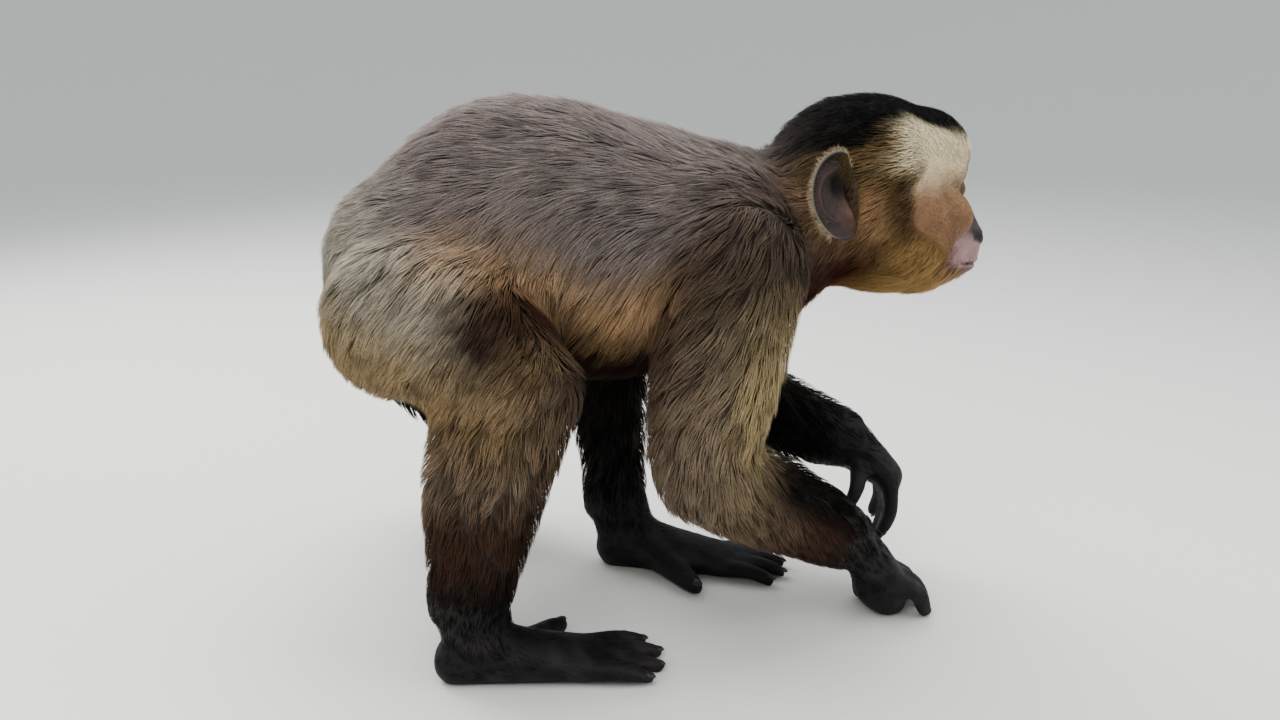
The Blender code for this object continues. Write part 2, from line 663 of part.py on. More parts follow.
# ---------------------------------------------------------------- finish
def material(name, colour, roughness):
    made = bpy.data.materials.new(name)
    made.use_nodes = True
    shader = made.node_tree.nodes["Principled BSDF"]
    shader.inputs["Base Color"].default_value = colour
    shader.inputs["Roughness"].default_value = roughness
    made.diffuse_color = colour
    return made


def dress(pieces):
    brown = material("fur_brown", FUR_BROWN, 0.85)
    tan = material("fur_tan", FUR_TAN, 0.85)
    black = material("fur_black", FUR_BLACK, 0.80)
    face = material("face_skin", FACE_SKIN, 0.60)
    ear = material("ear_skin", EAR_SKIN, 0.60)
    eye = material("eye", EYE_BROWN, 0.05)
    by_start = {"head": face, "neck": brown, "trunk": brown, "tail": black, "ear": ear,
                "upper_arm": tan, "forearm": brown, "hand": black, "thigh": tan,
                "shank": brown, "foot": black, "eye": eye}
    for name, obj in pieces.items():
        start = max((s for s in by_start if name.startswith(s)), key=len)
        obj.data.materials.clear()
        obj.data.materials.append(by_start[start])
        obj.data.shade_smooth()
        obj.data.set_sharp_from_angle(angle=math.radians(50))


def centre_over_origin(pieces):
    """Moves the animal so that the middle of its footprint box stands over the origin."""
    corners = [vert.co for obj in pieces.values() for vert in obj.data.vertices]
    low = Vector([min(corner[i] for corner in corners) for i in range(3)])
    high = Vector([max(corner[i] for corner in corners) for i in range(3)])
    shift = Vector((-(low.x + high.x) / 2, -(low.y + high.y) / 2, -low.z))
    for obj in pieces.values():
        obj.data.transform(Matrix.Translation(shift))


def main():
    for obj in list(bpy.data.objects):
        bpy.data.objects.remove(obj)
    pieces = build_animal()
    centre_over_origin(pieces)
    dress(pieces)


if __name__ == "__main__":
    main()
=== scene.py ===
"""Tufted capuchin monkey, life size: one skin, a mesh coat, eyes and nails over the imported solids.

The solids reach out to the tips of the coat. The skin is melted from copies of them and drawn in
by the coat's depth; tufts of fur then grow from it and lie along the body inside the same outline.
"""

from __future__ import annotations

import json  # noqa: E402
import logging  # noqa: E402
import math  # noqa: E402
from dataclasses import dataclass, field  # noqa: E402
from enum import Enum  # noqa: E402

import bmesh  # noqa: E402
import bpy  # noqa: E402
import numpy as np  # noqa: E402
from bpy.types import Material, Mesh, Node, Object  # noqa: E402
from mathutils import Matrix, Vector  # noqa: E402
from mathutils.bvhtree import BVHTree  # noqa: E402
from mathutils.kdtree import KDTree  # noqa: E402

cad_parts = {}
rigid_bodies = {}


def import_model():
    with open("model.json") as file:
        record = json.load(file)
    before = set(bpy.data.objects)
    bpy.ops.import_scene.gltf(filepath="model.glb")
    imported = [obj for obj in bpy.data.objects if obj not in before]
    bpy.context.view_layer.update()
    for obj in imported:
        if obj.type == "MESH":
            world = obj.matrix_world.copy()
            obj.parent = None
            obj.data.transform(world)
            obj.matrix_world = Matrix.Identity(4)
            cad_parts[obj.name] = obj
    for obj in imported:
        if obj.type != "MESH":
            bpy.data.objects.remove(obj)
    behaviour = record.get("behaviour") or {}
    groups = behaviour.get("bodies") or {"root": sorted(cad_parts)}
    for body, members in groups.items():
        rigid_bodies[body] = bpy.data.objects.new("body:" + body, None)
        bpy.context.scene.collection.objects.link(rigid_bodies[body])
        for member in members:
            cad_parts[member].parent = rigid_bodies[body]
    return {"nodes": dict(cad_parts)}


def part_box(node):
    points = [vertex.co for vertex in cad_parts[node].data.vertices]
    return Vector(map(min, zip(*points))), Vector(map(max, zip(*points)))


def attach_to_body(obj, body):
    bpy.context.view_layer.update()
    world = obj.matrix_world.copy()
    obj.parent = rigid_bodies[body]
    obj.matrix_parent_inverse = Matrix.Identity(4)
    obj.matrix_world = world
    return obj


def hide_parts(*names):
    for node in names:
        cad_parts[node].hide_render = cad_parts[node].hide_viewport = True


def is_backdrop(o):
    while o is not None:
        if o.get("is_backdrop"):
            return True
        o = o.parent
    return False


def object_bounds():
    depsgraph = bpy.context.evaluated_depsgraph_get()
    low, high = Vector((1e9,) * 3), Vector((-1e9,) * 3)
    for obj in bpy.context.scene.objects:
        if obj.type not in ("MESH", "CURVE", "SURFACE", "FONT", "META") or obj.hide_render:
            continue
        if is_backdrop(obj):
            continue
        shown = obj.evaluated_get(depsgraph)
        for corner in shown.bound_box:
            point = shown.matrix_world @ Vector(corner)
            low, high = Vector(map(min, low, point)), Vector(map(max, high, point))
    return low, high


log = logging.getLogger("capuchin")
Array = np.ndarray
Triple = tuple[float, float, float]
BODY = "root"
MM = 0.001


# ---------------- small helpers
def smooth(low: float, high: float, value: Array) -> Array:
    """A soft step from 0 at low to 1 at high (or falling, where high is the lower one)."""
    share = np.clip((value - low) / (high - low), 0.0, 1.0)
    return share * share * (3.0 - 2.0 * share)


def bump(centre: float, width: float, value: Array) -> Array:
    """A soft hump of height 1 at centre, gone at about twice width to either side."""
    return np.exp(-(((value - centre) / width) ** 2))


def unit(vectors: Array) -> Array:
    """Vectors scaled to length 1."""
    return vectors / np.maximum(np.linalg.norm(vectors, axis=-1, keepdims=True), 1e-12)


def dot(a: Array, b: Array) -> Array:
    """Row by row dot product, kept as a column."""
    return np.sum(a * b, axis=-1, keepdims=True)


def linear(red: float, green: float, blue: float) -> Array:
    """A colour as the eye reads it, turned into the shader's linear values."""
    return np.array([red, green, blue]) ** 2.2


def ripple(points: Array, size: float, seed: int) -> Array:
    """Smooth wandering values of about -1 to 1, with features of the given size.

    Args:
        points: places, one row each, in metres.
        size: rough width of one feature, in metres.
        seed: picks one pattern.

    Returns:
        One value for each row.
    """
    rng = np.random.default_rng(seed)
    total = np.zeros(len(points))
    for _ in range(7):
        wave = unit(rng.normal(size=3)) * rng.uniform(0.7, 1.5) * math.pi / size
        total += np.sin(points @ wave + rng.uniform(0, 2 * math.pi))
    return total / 3.2


# ---------------- where the body lies
class Side(Enum):
    """The animal's own right and left."""

    RIGHT = -1
    LEFT = 1

    @property
    def word(self) -> str:
        """The side's name as the nodes spell it."""
        return self.name.lower()


class Part(Enum):
    """Parts of the body whose coat grows in its own way."""

    HEAD = 0
    NECK = 1
    TRUNK = 2
    UPPER_ARM = 3
    FOREARM = 4
    HAND = 5
    THIGH = 6
    SHANK = 7
    FOOT = 8
    TAIL = 9


@dataclass(frozen=True)
class Hair:
    """How the coat grows on one part: lengths and depths in millimetres."""

    length: float
    depth: float
    width: float
    lie: Triple
    follow: float = 0.0     # how far the lie turns to the limb's own direction


HAIR = {
    Part.HEAD: Hair(12.0, 4.0, 0.36, (-0.80, 0.0, -0.55)),
    Part.NECK: Hair(21.0, 7.0, 0.48, (-0.80, 0.0, -0.55)),
    Part.TRUNK: Hair(26.0, 8.0, 0.52, (-0.90, 0.0, -0.40)),
    Part.UPPER_ARM: Hair(20.0, 6.5, 0.48, (-0.50, 0.0, -0.90)),
    Part.FOREARM: Hair(14.0, 5.0, 0.44, (-0.15, 0.0, -0.55), 0.75),
    Part.HAND: Hair(4.5, 0.7, 0.22, (0.0, 0.0, -0.2), 1.0),
    Part.THIGH: Hair(21.0, 7.5, 0.52, (-0.40, 0.0, -0.85)),
    Part.SHANK: Hair(14.0, 5.0, 0.45, (-0.25, 0.0, -0.95)),
    Part.FOOT: Hair(4.5, 0.7, 0.22, (0.3, 0.0, -0.25), 1.0),
    Part.TAIL: Hair(18.0, 5.5, 0.52, (0.0, 0.0, 0.0), 1.0),
}


@dataclass(frozen=True)
class Bone:
    """A stretch of the body: a tapered capsule that owns the skin around it."""

    part: Part
    side: int
    start: Array | Triple
    end: Array | Triple
    radii: tuple[float, float]

    def course(self, points: Array) -> tuple[Array, Array, Array]:
        """How far along the bone points lie, from 0 to 1, with its start and its span."""
        start = np.array(self.start)
        span = np.array(self.end) - start
        return np.clip((points - start) @ span / (span @ span), 0.0, 1.0), start, span


LIMBS = {       # first joint, last joint and half the depth
    Part.UPPER_ARM: ("shoulder", "elbow", 0.033), Part.FOREARM: ("elbow", "wrist", 0.022),
    Part.THIGH: ("hip", "knee", 0.036), Part.SHANK: ("knee", "ankle", 0.028),
}


@dataclass
class Anatomy:
    """The animal's own frame: landmarks as in the solids, before they were centred."""

    head_centre: Triple = (0.1245, 0.004, 0.2455)
    head_yaw: float = math.radians(11.0)
    head_roll: float = math.radians(-4.0)
    eye_place: Triple = (0.0352, 0.0130, 0.0045)
    ear_place: Triple = (-0.0405, 0.0455, 0.0050)
    blend_width: float = 0.007      # how softly one part's coat passes into the next
    spine: tuple[tuple[float, ...], ...] = (
        (-0.142, 0.2110, 0.0360, 0.0450), (-0.126, 0.2160, 0.0470, 0.0575),
        (-0.098, 0.2247, 0.0530, 0.0697), (-0.064, 0.2277, 0.0560, 0.0743),
        (-0.028, 0.2237, 0.0565, 0.0737), (0.008, 0.2187, 0.0560, 0.0677),
        (0.040, 0.2180, 0.0520, 0.0610), (0.064, 0.2205, 0.0450, 0.0500),
        (0.084, 0.2245, 0.0380, 0.0410),
    )
    joints: dict[str, tuple[tuple[float, ...], tuple[float, ...]]] = field(
        default_factory=lambda: {      # right, then left
            "shoulder": ((0.047, -0.049, 0.217), (0.050, 0.048, 0.214)),
            "elbow": ((0.0290, -0.0580, 0.1160), (0.0460, 0.0780, 0.1240)),
            "wrist": ((0.1190, -0.0080, 0.0540), (0.1290, 0.0620, 0.0880)),
            "knuckle": ((0.1420, -0.0010, 0.0260), (0.1540, 0.0600, 0.0640)),
            "fingertip": ((0.1660, 0.0080, 0.0060), (0.1610, 0.0590, 0.0300)),
            "hip": ((-0.118, -0.036, 0.205), (-0.112, 0.036, 0.205)),
            "knee": ((-0.048, -0.072, 0.158), (-0.012, 0.078, 0.160)),
            "calf": ((-0.0780, -0.0690, 0.1130), (-0.0210, 0.0770, 0.1130)),
            "ankle": ((-0.0890, -0.0630, 0.0400), (-0.0140, 0.0730, 0.0400)),
            "heel": ((-0.1000, -0.0650, 0.0110), (-0.0190, 0.0720, 0.0110)),
            "toe": ((0.0150, -0.0510, 0.0070), (0.0940, 0.0560, 0.0070)),
        })
    tail: tuple[Triple, ...] = (
        (-0.138, 0.001, 0.218), (-0.156, 0.008, 0.204), (-0.1655, 0.030, 0.180),
        (-0.171, 0.060, 0.155), (-0.165, 0.090, 0.130), (-0.150, 0.112, 0.106),
        (-0.133, 0.125, 0.082), (-0.1185, 0.130, 0.060),
    )
    tail_curl: Triple = (1.35, 0.0215, -0.035)  # turns, radius, pitch
    tail_radii: tuple[float, float] = (0.0175, 0.0115)

    def __post_init__(self) -> None:
        """Finds where the centred solids put this frame, and lists the bones."""
        low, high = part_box("eye_right")
        eye = self.from_head(np.array([self.eye_of(Side.RIGHT)]))[0]
        self.shift = np.array((low + high) / 2) - eye
        self.bones = self.torso_bones() + self.limb_bones() + self.tail_bones()
        self.known: dict[tuple[float, ...], tuple[Array, Array]] = {}

    # -------- the head's own axes
    @property
    def head_axes(self) -> Array:
        """Forward, left and up of the head, as columns."""
        turn = Matrix.Rotation(self.head_yaw, 3, "Z") @ Matrix.Rotation(self.head_roll, 3, "X")
        return np.array(turn)

    def eye_of(self, side: Side) -> Triple:
        """An eye's centre in head coordinates."""
        forward, apart, up = self.eye_place
        return forward, side.value * apart, up

    def from_head(self, points: Array) -> Array:
        """Head coordinates (forward, left, up) turned into the animal's frame."""
        return np.asarray(points) @ self.head_axes.T + np.array(self.head_centre)

    def to_head(self, points: Array) -> Array:
        """How far forward, left and up of the head's centre points lie, in millimetres."""
        return ((points - np.array(self.head_centre)) @ self.head_axes / MM).T

    def placed(self, points: Array) -> Array:
        """Points of the animal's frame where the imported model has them."""
        return np.asarray(points) + self.shift

    def local(self, points: Array) -> Array:
        """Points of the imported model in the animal's frame."""
        return np.asarray(points) - self.shift

    # -------- bones
    def joint(self, name: str, side: Side) -> Array:
        """A named joint on one side."""
        return np.array(self.joints[name][0 if side is Side.RIGHT else 1])

    def torso_bones(self) -> list[Bone]:
        """Head, neck and trunk."""
        head = self.from_head(np.array([(-0.016, 0.0, 0.004), (0.030, 0.0, -0.012)]))
        bones = [Bone(Part.HEAD, 0, head[0], head[1], (0.043, 0.032)),
                 Bone(Part.NECK, 0, (0.062, 0.0, 0.224), (0.090, 0.0, 0.232), (0.045, 0.036))]
        rows = self.spine[:-1]
        for first, last in zip(rows[::2], rows[2::2]):
            bones.append(Bone(Part.TRUNK, 0, (first[0], 0.0, first[1]), (last[0], 0.0, last[1]),
                              (0.5 * (first[2] + first[3]), 0.5 * (last[2] + last[3]))))
        return bones

    def limb_bones(self) -> list[Bone]:
        """Arms and legs of both sides."""
        chains = (
            (Part.UPPER_ARM, "shoulder", "elbow", (0.030, 0.025)),
            (Part.FOREARM, "elbow", "wrist", (0.025, 0.015)),
            (Part.HAND, "wrist", "knuckle", (0.013, 0.012)),
            (Part.HAND, "knuckle", "fingertip", (0.012, 0.008)),
            (Part.THIGH, "hip", "knee", (0.039, 0.028)),
            (Part.SHANK, "knee", "calf", (0.029, 0.029)),
            (Part.SHANK, "calf", "ankle", (0.029, 0.017)),
            (Part.FOOT, "ankle", "heel", (0.016, 0.013)),
            (Part.FOOT, "heel", "toe", (0.014, 0.010)),
        )
        return [Bone(part, side.value, self.joint(start, side), self.joint(end, side), radii)
                for side in Side for part, start, end, radii in chains]

    def tail_points(self) -> Array:
        """The tail's middle line: its sweep, then the open curl."""
        rows = [np.array(p) for p in self.tail]
        turns, radius, pitch = self.tail_curl
        aim = unit(rows[-1] - rows[-2])
        inwards = unit(np.array((-aim[2], 0.0, aim[0])))
        last = rows[-1]
        centre = last + inwards * radius
        start = math.atan2(last[2] - centre[2], last[0] - centre[0])
        steps = round(8 * turns)
        for k in range(1, steps + 1):
            share = k / steps
            angle = start + 2 * math.pi * turns * share
            reach = radius * (1.0 - 0.20 * share)
            rows.append(np.array((centre[0] + reach * math.cos(angle),
                                  last[1] + pitch * turns * share,
                                  centre[2] + reach * math.sin(angle))))
        return np.array(rows)

    def tail_bones(self) -> list[Bone]:
        """The tail, span by span."""
        rows = self.tail_points()
        count = len(rows) - 1
        thick = np.linspace(*self.tail_radii, count + 1)
        return [Bone(Part.TAIL, 0, rows[i], rows[i + 1], (thick[i], thick[i + 1]))
                for i in range(count)]

    def weights(self, points: Array) -> tuple[Array, Array]:
        """How much each bone owns each point, and how far along the bone the point lies.

        Args:
            points: places in the animal's frame.

        Returns:
            Two arrays with a row for each point and a column for each bone.
        """
        key = (len(points), float(points.sum()), float((points[:, 0] * points[:, 2]).sum()))
        if key in self.known:
            return self.known[key]
        own = np.empty((len(points), len(self.bones)))
        along = np.empty_like(own)
        for i, bone in enumerate(self.bones):
            share, start, span = bone.course(points)
            away = np.linalg.norm(points - start - share[:, None] * span, axis=1)
            thick = bone.radii[0] + (bone.radii[1] - bone.radii[0]) * share
            own[:, i] = away - thick
            along[:, i] = share
        own = np.exp(-np.maximum(own - own.min(axis=1, keepdims=True), 0.0) / self.blend_width)
        if len(self.known) > 5:
            self.known.clear()
        self.known[key] = own / own.sum(axis=1, keepdims=True), along
        return self.known[key]

    def shares(self, points: Array) -> dict[Part, Array]:
        """Each part's share of each point, from the bones' weights."""
        weights, _ = self.weights(points)
        return {part: sum(weights[:, i] for i, bone in enumerate(self.bones)
                          if bone.part is part) for part in Part}

    def outward(self, points: Array) -> Array:
        """1 on a limb's outer side, -1 on its inner side, 0 on the torso."""
        weights, _ = self.weights(points)
        total = np.zeros(len(points))
        for i, bone in enumerate(self.bones):
            if bone.side == 0:
                continue
            share, start, span = bone.course(points)
            middle = start[1] + share * span[1]
            thick = 0.5 * (bone.radii[0] + bone.radii[1])
            total += weights[:, i] * np.clip((points[:, 1] - middle) * bone.side / thick, -1, 1)
        return total

    def along_part(self, part: Part, points: Array) -> Array:
        """How far down a part of two joints or more a point lies, 0 at its root."""
        first, last, _ = LIMBS[part]
        best = np.zeros(len(points))
        for side in Side:
            start, end = (self.joint(name, side) for name in (first, last))
            span = end - start
            here = (points[:, 1] * side.value) > -0.02
            best = np.where(here, (points - start) @ span / (span @ span), best)
        return np.clip(best, -0.2, 1.2)

    def forward_of(self, part: Part, points: Array) -> Array:
        """How far in front of a limb's bone a point lies, in its half depths."""
        first, last, thick = LIMBS[part]
        best = np.zeros(len(points))
        for side in Side:
            start, end = (self.joint(name, side) for name in (first, last))
            span = unit((end - start) * np.array((1.0, 0.0, 1.0)))
            ahead = np.array((-span[2], 0.0, span[0]))
            if ahead[0] < 0.0:
                ahead = -ahead
            if part is Part.FOREARM:
                ahead = ahead if ahead[2] > 0.0 else -ahead
            here = (points[:, 1] * side.value) > -0.02
            best = np.where(here, (points - start) @ ahead / thick, best)
        return np.clip(best, -1.5, 1.5)


# ---------------- colours of coat and skin
@dataclass(frozen=True)
class Palette:
    """The animal's colours, as the eye reads them in plain light."""

    taupe: Triple = (0.495, 0.460, 0.450)
    dark_streak: Triple = (0.20, 0.16, 0.14)
    golden: Triple = (0.74, 0.61, 0.46)
    chestnut: Triple = (0.445, 0.375, 0.315)
    belly: Triple = (0.19, 0.105, 0.070)
    grey_tan: Triple = (0.50, 0.445, 0.385)
    silver: Triple = (0.66, 0.64, 0.59)
    pale_tan: Triple = (0.66, 0.595, 0.455)
    ochre: Triple = (0.61, 0.52, 0.37)
    brown: Triple = (0.285, 0.212, 0.175)
    black: Triple = (0.095, 0.086, 0.080)
    cap: Triple = (0.006, 0.005, 0.005)
    cream: Triple = (0.91, 0.86, 0.73)
    temple: Triple = (0.46, 0.385, 0.275)
    cheek: Triple = (0.71, 0.57, 0.44)
    sideburn: Triple = (0.25, 0.170, 0.115)
    beard: Triple = (0.66, 0.545, 0.375)
    throat: Triple = (0.26, 0.105, 0.050)
    chin: Triple = (0.74, 0.60, 0.44)
    face: Triple = (0.455, 0.345, 0.265)
    lip: Triple = (0.60, 0.495, 0.490)
    nose: Triple = (0.27, 0.235, 0.25)
    # painted shade, for the nostrils, the lids' edges and the line between the lips
    pit: Triple = (0.07, 0.05, 0.05)
    ear: Triple = (0.225, 0.195, 0.195)
    # painted shade for the ear's hollow and groove
    concha: Triple = (0.09, 0.05, 0.045)
    ear_rim: Triple = (0.50, 0.46, 0.43)
    ear_pink: Triple = (0.38, 0.28, 0.25)
    leather: Triple = (0.090, 0.086, 0.102)
    leather_worn: Triple = (0.24, 0.21, 0.21)


@dataclass
class Markings:
    """The one pattern of colour that the skin and every coat piece carry."""

    anatomy: Anatomy
    palette: Palette = field(default_factory=Palette)

    def tone(self, name: str) -> Array:
        """A palette colour in linear values."""
        return linear(*getattr(self.palette, name))

    def over(self, base: Array, name: str, share: Array) -> Array:
        """Colours moved towards a palette colour by a share for each row."""
        share = np.clip(share, 0.0, 1.0)[:, None]
        return base * (1.0 - share) + self.tone(name) * share

    def colours(self, points: Array) -> Array:
        """The colour of the animal at each point of its own frame.

        Args:
            points: places in the animal's frame.

        Returns:
            Linear red, green and blue, a row for each point.
        """
        shares = self.anatomy.shares(points)
        outer = self.anatomy.outward(points)
        stray = ripple(points, 0.030, 5)
        made = {
            Part.HEAD: self.head(points, stray), Part.NECK: self.neck(points, stray),
            Part.TRUNK: self.trunk(points, stray),
            Part.UPPER_ARM: self.upper_arm(points, outer, stray),
            Part.FOREARM: self.forearm(points, outer, stray),
            Part.THIGH: self.thigh(points, outer, stray),
            Part.SHANK: self.shank(points, outer, stray),
            Part.TAIL: self.tail(points, stray),
        }
        leather = np.tile(self.tone("leather"), (len(points), 1))
        leather = self.over(leather, "leather_worn", 0.45
                            * smooth(-0.2, 1.2, ripple(points, 0.009, 8)))
        made[Part.HAND] = made[Part.FOOT] = leather
        out = sum(made[part] * shares[part][:, None] for part in Part)
        # painted shade in the folds of groin and armpit, laid on in the belly colour
        return self.over(out, "belly", self.folds(points, shares))

    def folds(self, points: Array, shares: dict[Part, Array]) -> Array:
        """Grows where two parts meet in a fold that the light hardly reaches; the markings paint
        shade there.
        """
        groin = 3.2 * shares[Part.TRUNK] * shares[Part.THIGH] * smooth(
            -0.095, -0.060, points[:, 0]) * smooth(0.235, 0.205, points[:, 2])
        armpit = 2.2 * shares[Part.TRUNK] * shares[Part.UPPER_ARM] * smooth(
            0.050, 0.020, points[:, 0]) * smooth(0.235, 0.190, points[:, 2])
        return np.clip(0.75 * groin + 0.6 * armpit, 0.0, 0.8)

    def spine_height(self, points: Array) -> Array:
        """Where a point of the trunk lies, from -1 at the belly to 1 on the back."""
        rows = np.array(self.anatomy.spine)
        middle = np.interp(points[:, 0], rows[:, 0], rows[:, 1])
        deep = np.interp(points[:, 0], rows[:, 0], rows[:, 3])
        return (points[:, 2] - middle) / deep

    def trunk(self, points: Array, stray: Array) -> Array:
        """Taupe back, golden lower flank, dark belly, ochre rump."""
        height = self.spine_height(points) + 0.10 * stray
        x = points[:, 0]
        out = np.tile(self.tone("taupe"), (len(points), 1))
        out = self.over(out, "chestnut", 0.45 * smooth(0.35, -0.25, height))
        out = self.over(out, "golden", 0.90 * bump(-0.24, 0.22, height) * smooth(-0.105, -0.06, x)
                        * smooth(0.055, 0.015, x))
        out = self.over(out, "golden", 0.65 * bump(-0.02, 0.16, height) * bump(-0.103, 0.026, x))
        out = self.over(out, "belly", 0.97
                        * smooth(-0.32, -0.52, height - 0.20 * smooth(-0.03, -0.07, x)))
        out = self.over(out, "silver", 0.75 * smooth(-0.105, -0.145, x) * bump(0.35, 0.55, height))
        out = self.over(out, "ochre", 0.70 * smooth(-0.128, -0.160, x)
                        * smooth(0.15, -0.35, height))
        return self.over(out, "dark_streak", 0.60 * smooth(0.020, 0.060, x)
                         * smooth(0.95, 0.55, height))

    def neck(self, points: Array, stray: Array) -> Array:
        """Dark nape, grizzled sides, brown throat."""
        height = (points[:, 2] - 0.226) / 0.04 + 0.15 * stray
        out = np.tile(self.tone("taupe"), (len(points), 1))
        out = self.over(out, "dark_streak", 0.60 * smooth(0.2, 0.9, height))
        out = self.over(out, "temple", 0.60 * bump(0.2, 0.40, height))
        return self.over(out, "throat", 0.95 * smooth(0.20, -0.25, height))

    def upper_arm(self, points: Array, outer: Array, stray: Array) -> Array:
        """Grey tan, pale along the front, black on the inner side."""
        down = self.anatomy.along_part(Part.UPPER_ARM, points)
        ahead = self.anatomy.forward_of(Part.UPPER_ARM, points)
        out = np.tile(self.tone("grey_tan"), (len(points), 1))
        out = self.over(out, "dark_streak", 0.65 * smooth(0.32, -0.05, down))
        out = self.over(out, "pale_tan", 0.85 * smooth(0.05, 0.85, ahead + 0.2 * stray)
                        * smooth(-0.05, 0.25, down))
        out = self.over(out, "brown", 0.50 * smooth(0.1, -0.9, ahead))
        out = self.over(out, "chestnut", 0.35 * smooth(0.80, 1.05, down))
        return self.over(out, "black", 0.96 * smooth(-0.10, -0.55, outer))

    def forearm(self, points: Array, outer: Array, stray: Array) -> Array:
        """Brown outside and below, black above and towards the wrist."""
        down = self.anatomy.along_part(Part.FOREARM, points) + 0.05 * stray
        above = self.anatomy.forward_of(Part.FOREARM, points)
        out = np.tile(self.tone("grey_tan"), (len(points), 1))
        out = self.over(out, "chestnut", smooth(0.0, 0.35, down))
        out = self.over(out, "brown", smooth(0.3, 0.65, down))
        out = self.over(out, "black", smooth(0.78, 1.02, down))
        out = self.over(out, "black", smooth(0.05, 0.75, above) * smooth(0.05, 0.35, down))
        return self.over(out, "black", 0.96 * smooth(-0.15, -0.60, outer))

    def thigh(self, points: Array, outer: Array, stray: Array) -> Array:
        """Grey tan above, ochre behind, dark along the front and the inner side."""
        down = self.anatomy.along_part(Part.THIGH, points)
        ahead = self.anatomy.forward_of(Part.THIGH, points) + 0.15 * stray
        low = smooth(0.185, 0.150, points[:, 2])
        out = np.tile(self.tone("grey_tan"), (len(points), 1))
        out = self.over(out, "silver", 0.80 * smooth(0.85, 0.30, down))
        out = self.over(out, "ochre", 0.80 * smooth(0.20, -0.65, ahead)
                        * smooth(0.225, 0.190, points[:, 2]))
        out = self.over(out, "chestnut", 0.40 * low)
        out = self.over(out, "dark_streak", 0.95 * smooth(0.00, 0.40, ahead)
                        * smooth(0.25, 0.60, down))
        return self.over(out, "black", 0.94 * smooth(-0.15, -0.55, outer))

    def shank(self, points: Array, outer: Array, stray: Array) -> Array:
        """Chestnut at the knee, darkening to a black ankle."""
        height = points[:, 2] + 0.004 * stray
        ahead = self.anatomy.forward_of(Part.SHANK, points)
        out = np.tile(self.tone("chestnut"), (len(points), 1))
        out = self.over(out, "ochre", 0.45 * smooth(0.120, 0.150, height)
                        * smooth(0.5, -0.5, ahead))
        out = self.over(out, "grey_tan", 0.60 * bump(0.118, 0.022, height))
        out = self.over(out, "brown", smooth(0.120, 0.090, height))
        out = self.over(out, "dark_streak", 0.85 * smooth(0.10, 0.70, ahead))
        out = self.over(out, "black", smooth(0.078, 0.042, height))
        return self.over(out, "black", 0.95 * smooth(-0.05, -0.50, outer))

    def tail(self, points: Array, stray: Array) -> Array:
        """Brown at the root, nearly black from there on."""
        out = np.tile(self.tone("brown"), (len(points), 1))
        out = self.over(out, "ochre", 0.4 * smooth(0.185, 0.215, points[:, 2]))
        return self.over(out, "black", 0.9 * smooth(0.185, 0.120, points[:, 2] + 0.006 * stray))

    def bare(self, points: Array) -> Array:
        """1 where the face is skin with only fine down, 0 where fur covers it."""
        ahead, left, up = self.anatomy.to_head(points)
        wobble = 1.2 * ripple(points, 0.010, 3)
        rear = 0.5 + 10.0 * smooth(4, 20, up) + 4.0 * smooth(-8, -20, up)
        low = np.interp(ahead, (0.0, 15.0, 30.0, 46.0), (-13.0, -22.0, -34.0, -39.5))
        return (smooth(-2.2, 2.6, ahead - rear + wobble) * smooth(24.0, 15.0, up + wobble)
                * smooth(-2.4, 2.4, up - low + wobble))

    def cap(self, ahead: Array, apart: Array, up: Array, wobble: Array) -> Array:
        """1 on the black cap with its front tufts and the dark crest of the nape."""
        edge = np.interp(ahead, (-72.0, -50.0, -20.0, -10.0, -6.5, 2.0, 18.0, 40.0),
                         (12.0, 24.0, 27.0, 28.0, 36.5, 39.0, 37.0, 31.0))
        notch = 2.0 * bump(7.0, 5.0, ahead) * smooth(10, 20, apart)
        peak = 3.0 * bump(0.0, 7.0, apart) * smooth(10, 30, ahead)
        return smooth(-2.6, 2.6, up - edge - notch - peak + wobble)

    def head(self, points: Array, stray: Array) -> Array:
        """Black cap, cream brow, naked pink face, dark sideburn, ochre beard."""
        ahead, left, up = self.anatomy.to_head(points)
        apart = np.abs(left)
        wobble = 1.6 * stray + 1.2 * ripple(points, 0.008, 21)
        out = np.tile(self.tone("temple"), (len(points), 1))
        out = self.over(out, "cheek", smooth(14, 2, up + wobble) * smooth(-8, -14, ahead + wobble)
                        * smooth(-26, -16, up))
        out = self.over(out, "dark_streak", 0.55 * smooth(-42, -56, ahead))
        out = self.over(out, "throat", 0.97 * smooth(-4, -14, ahead - 0.35 * (up + 24))
                        * smooth(-15, -23, up + wobble))
        out = self.over(out, "beard", 0.92 * smooth(-17, -5, ahead + wobble)
                        * smooth(-13, -22, up + 0.25 * (ahead - 10) + wobble))
        out = self.over(out, "beard", smooth(-37, -43, up + wobble))
        out = self.over(out, "chin", 0.7 * smooth(-33, -40, up) * smooth(26, 40, ahead))
        out = self.over(out, "cream", smooth(9, 20, up + wobble)
                        * smooth(-15, -5, ahead - 0.15 * up + wobble))
        stripe = bump(-3.0 - 0.03 * up, 4.2, ahead + 0.7 * wobble)
        stripe = stripe * smooth(-25, -15, up + wobble) * smooth(16, 5, up + wobble)
        out = self.over(out, "sideburn", 0.88 * stripe * smooth(18, 26, apart))
        cap = self.cap(ahead, apart, up, wobble)
        out = self.over(out, "cap", cap)
        return self.face(out, points, ahead, apart, up)

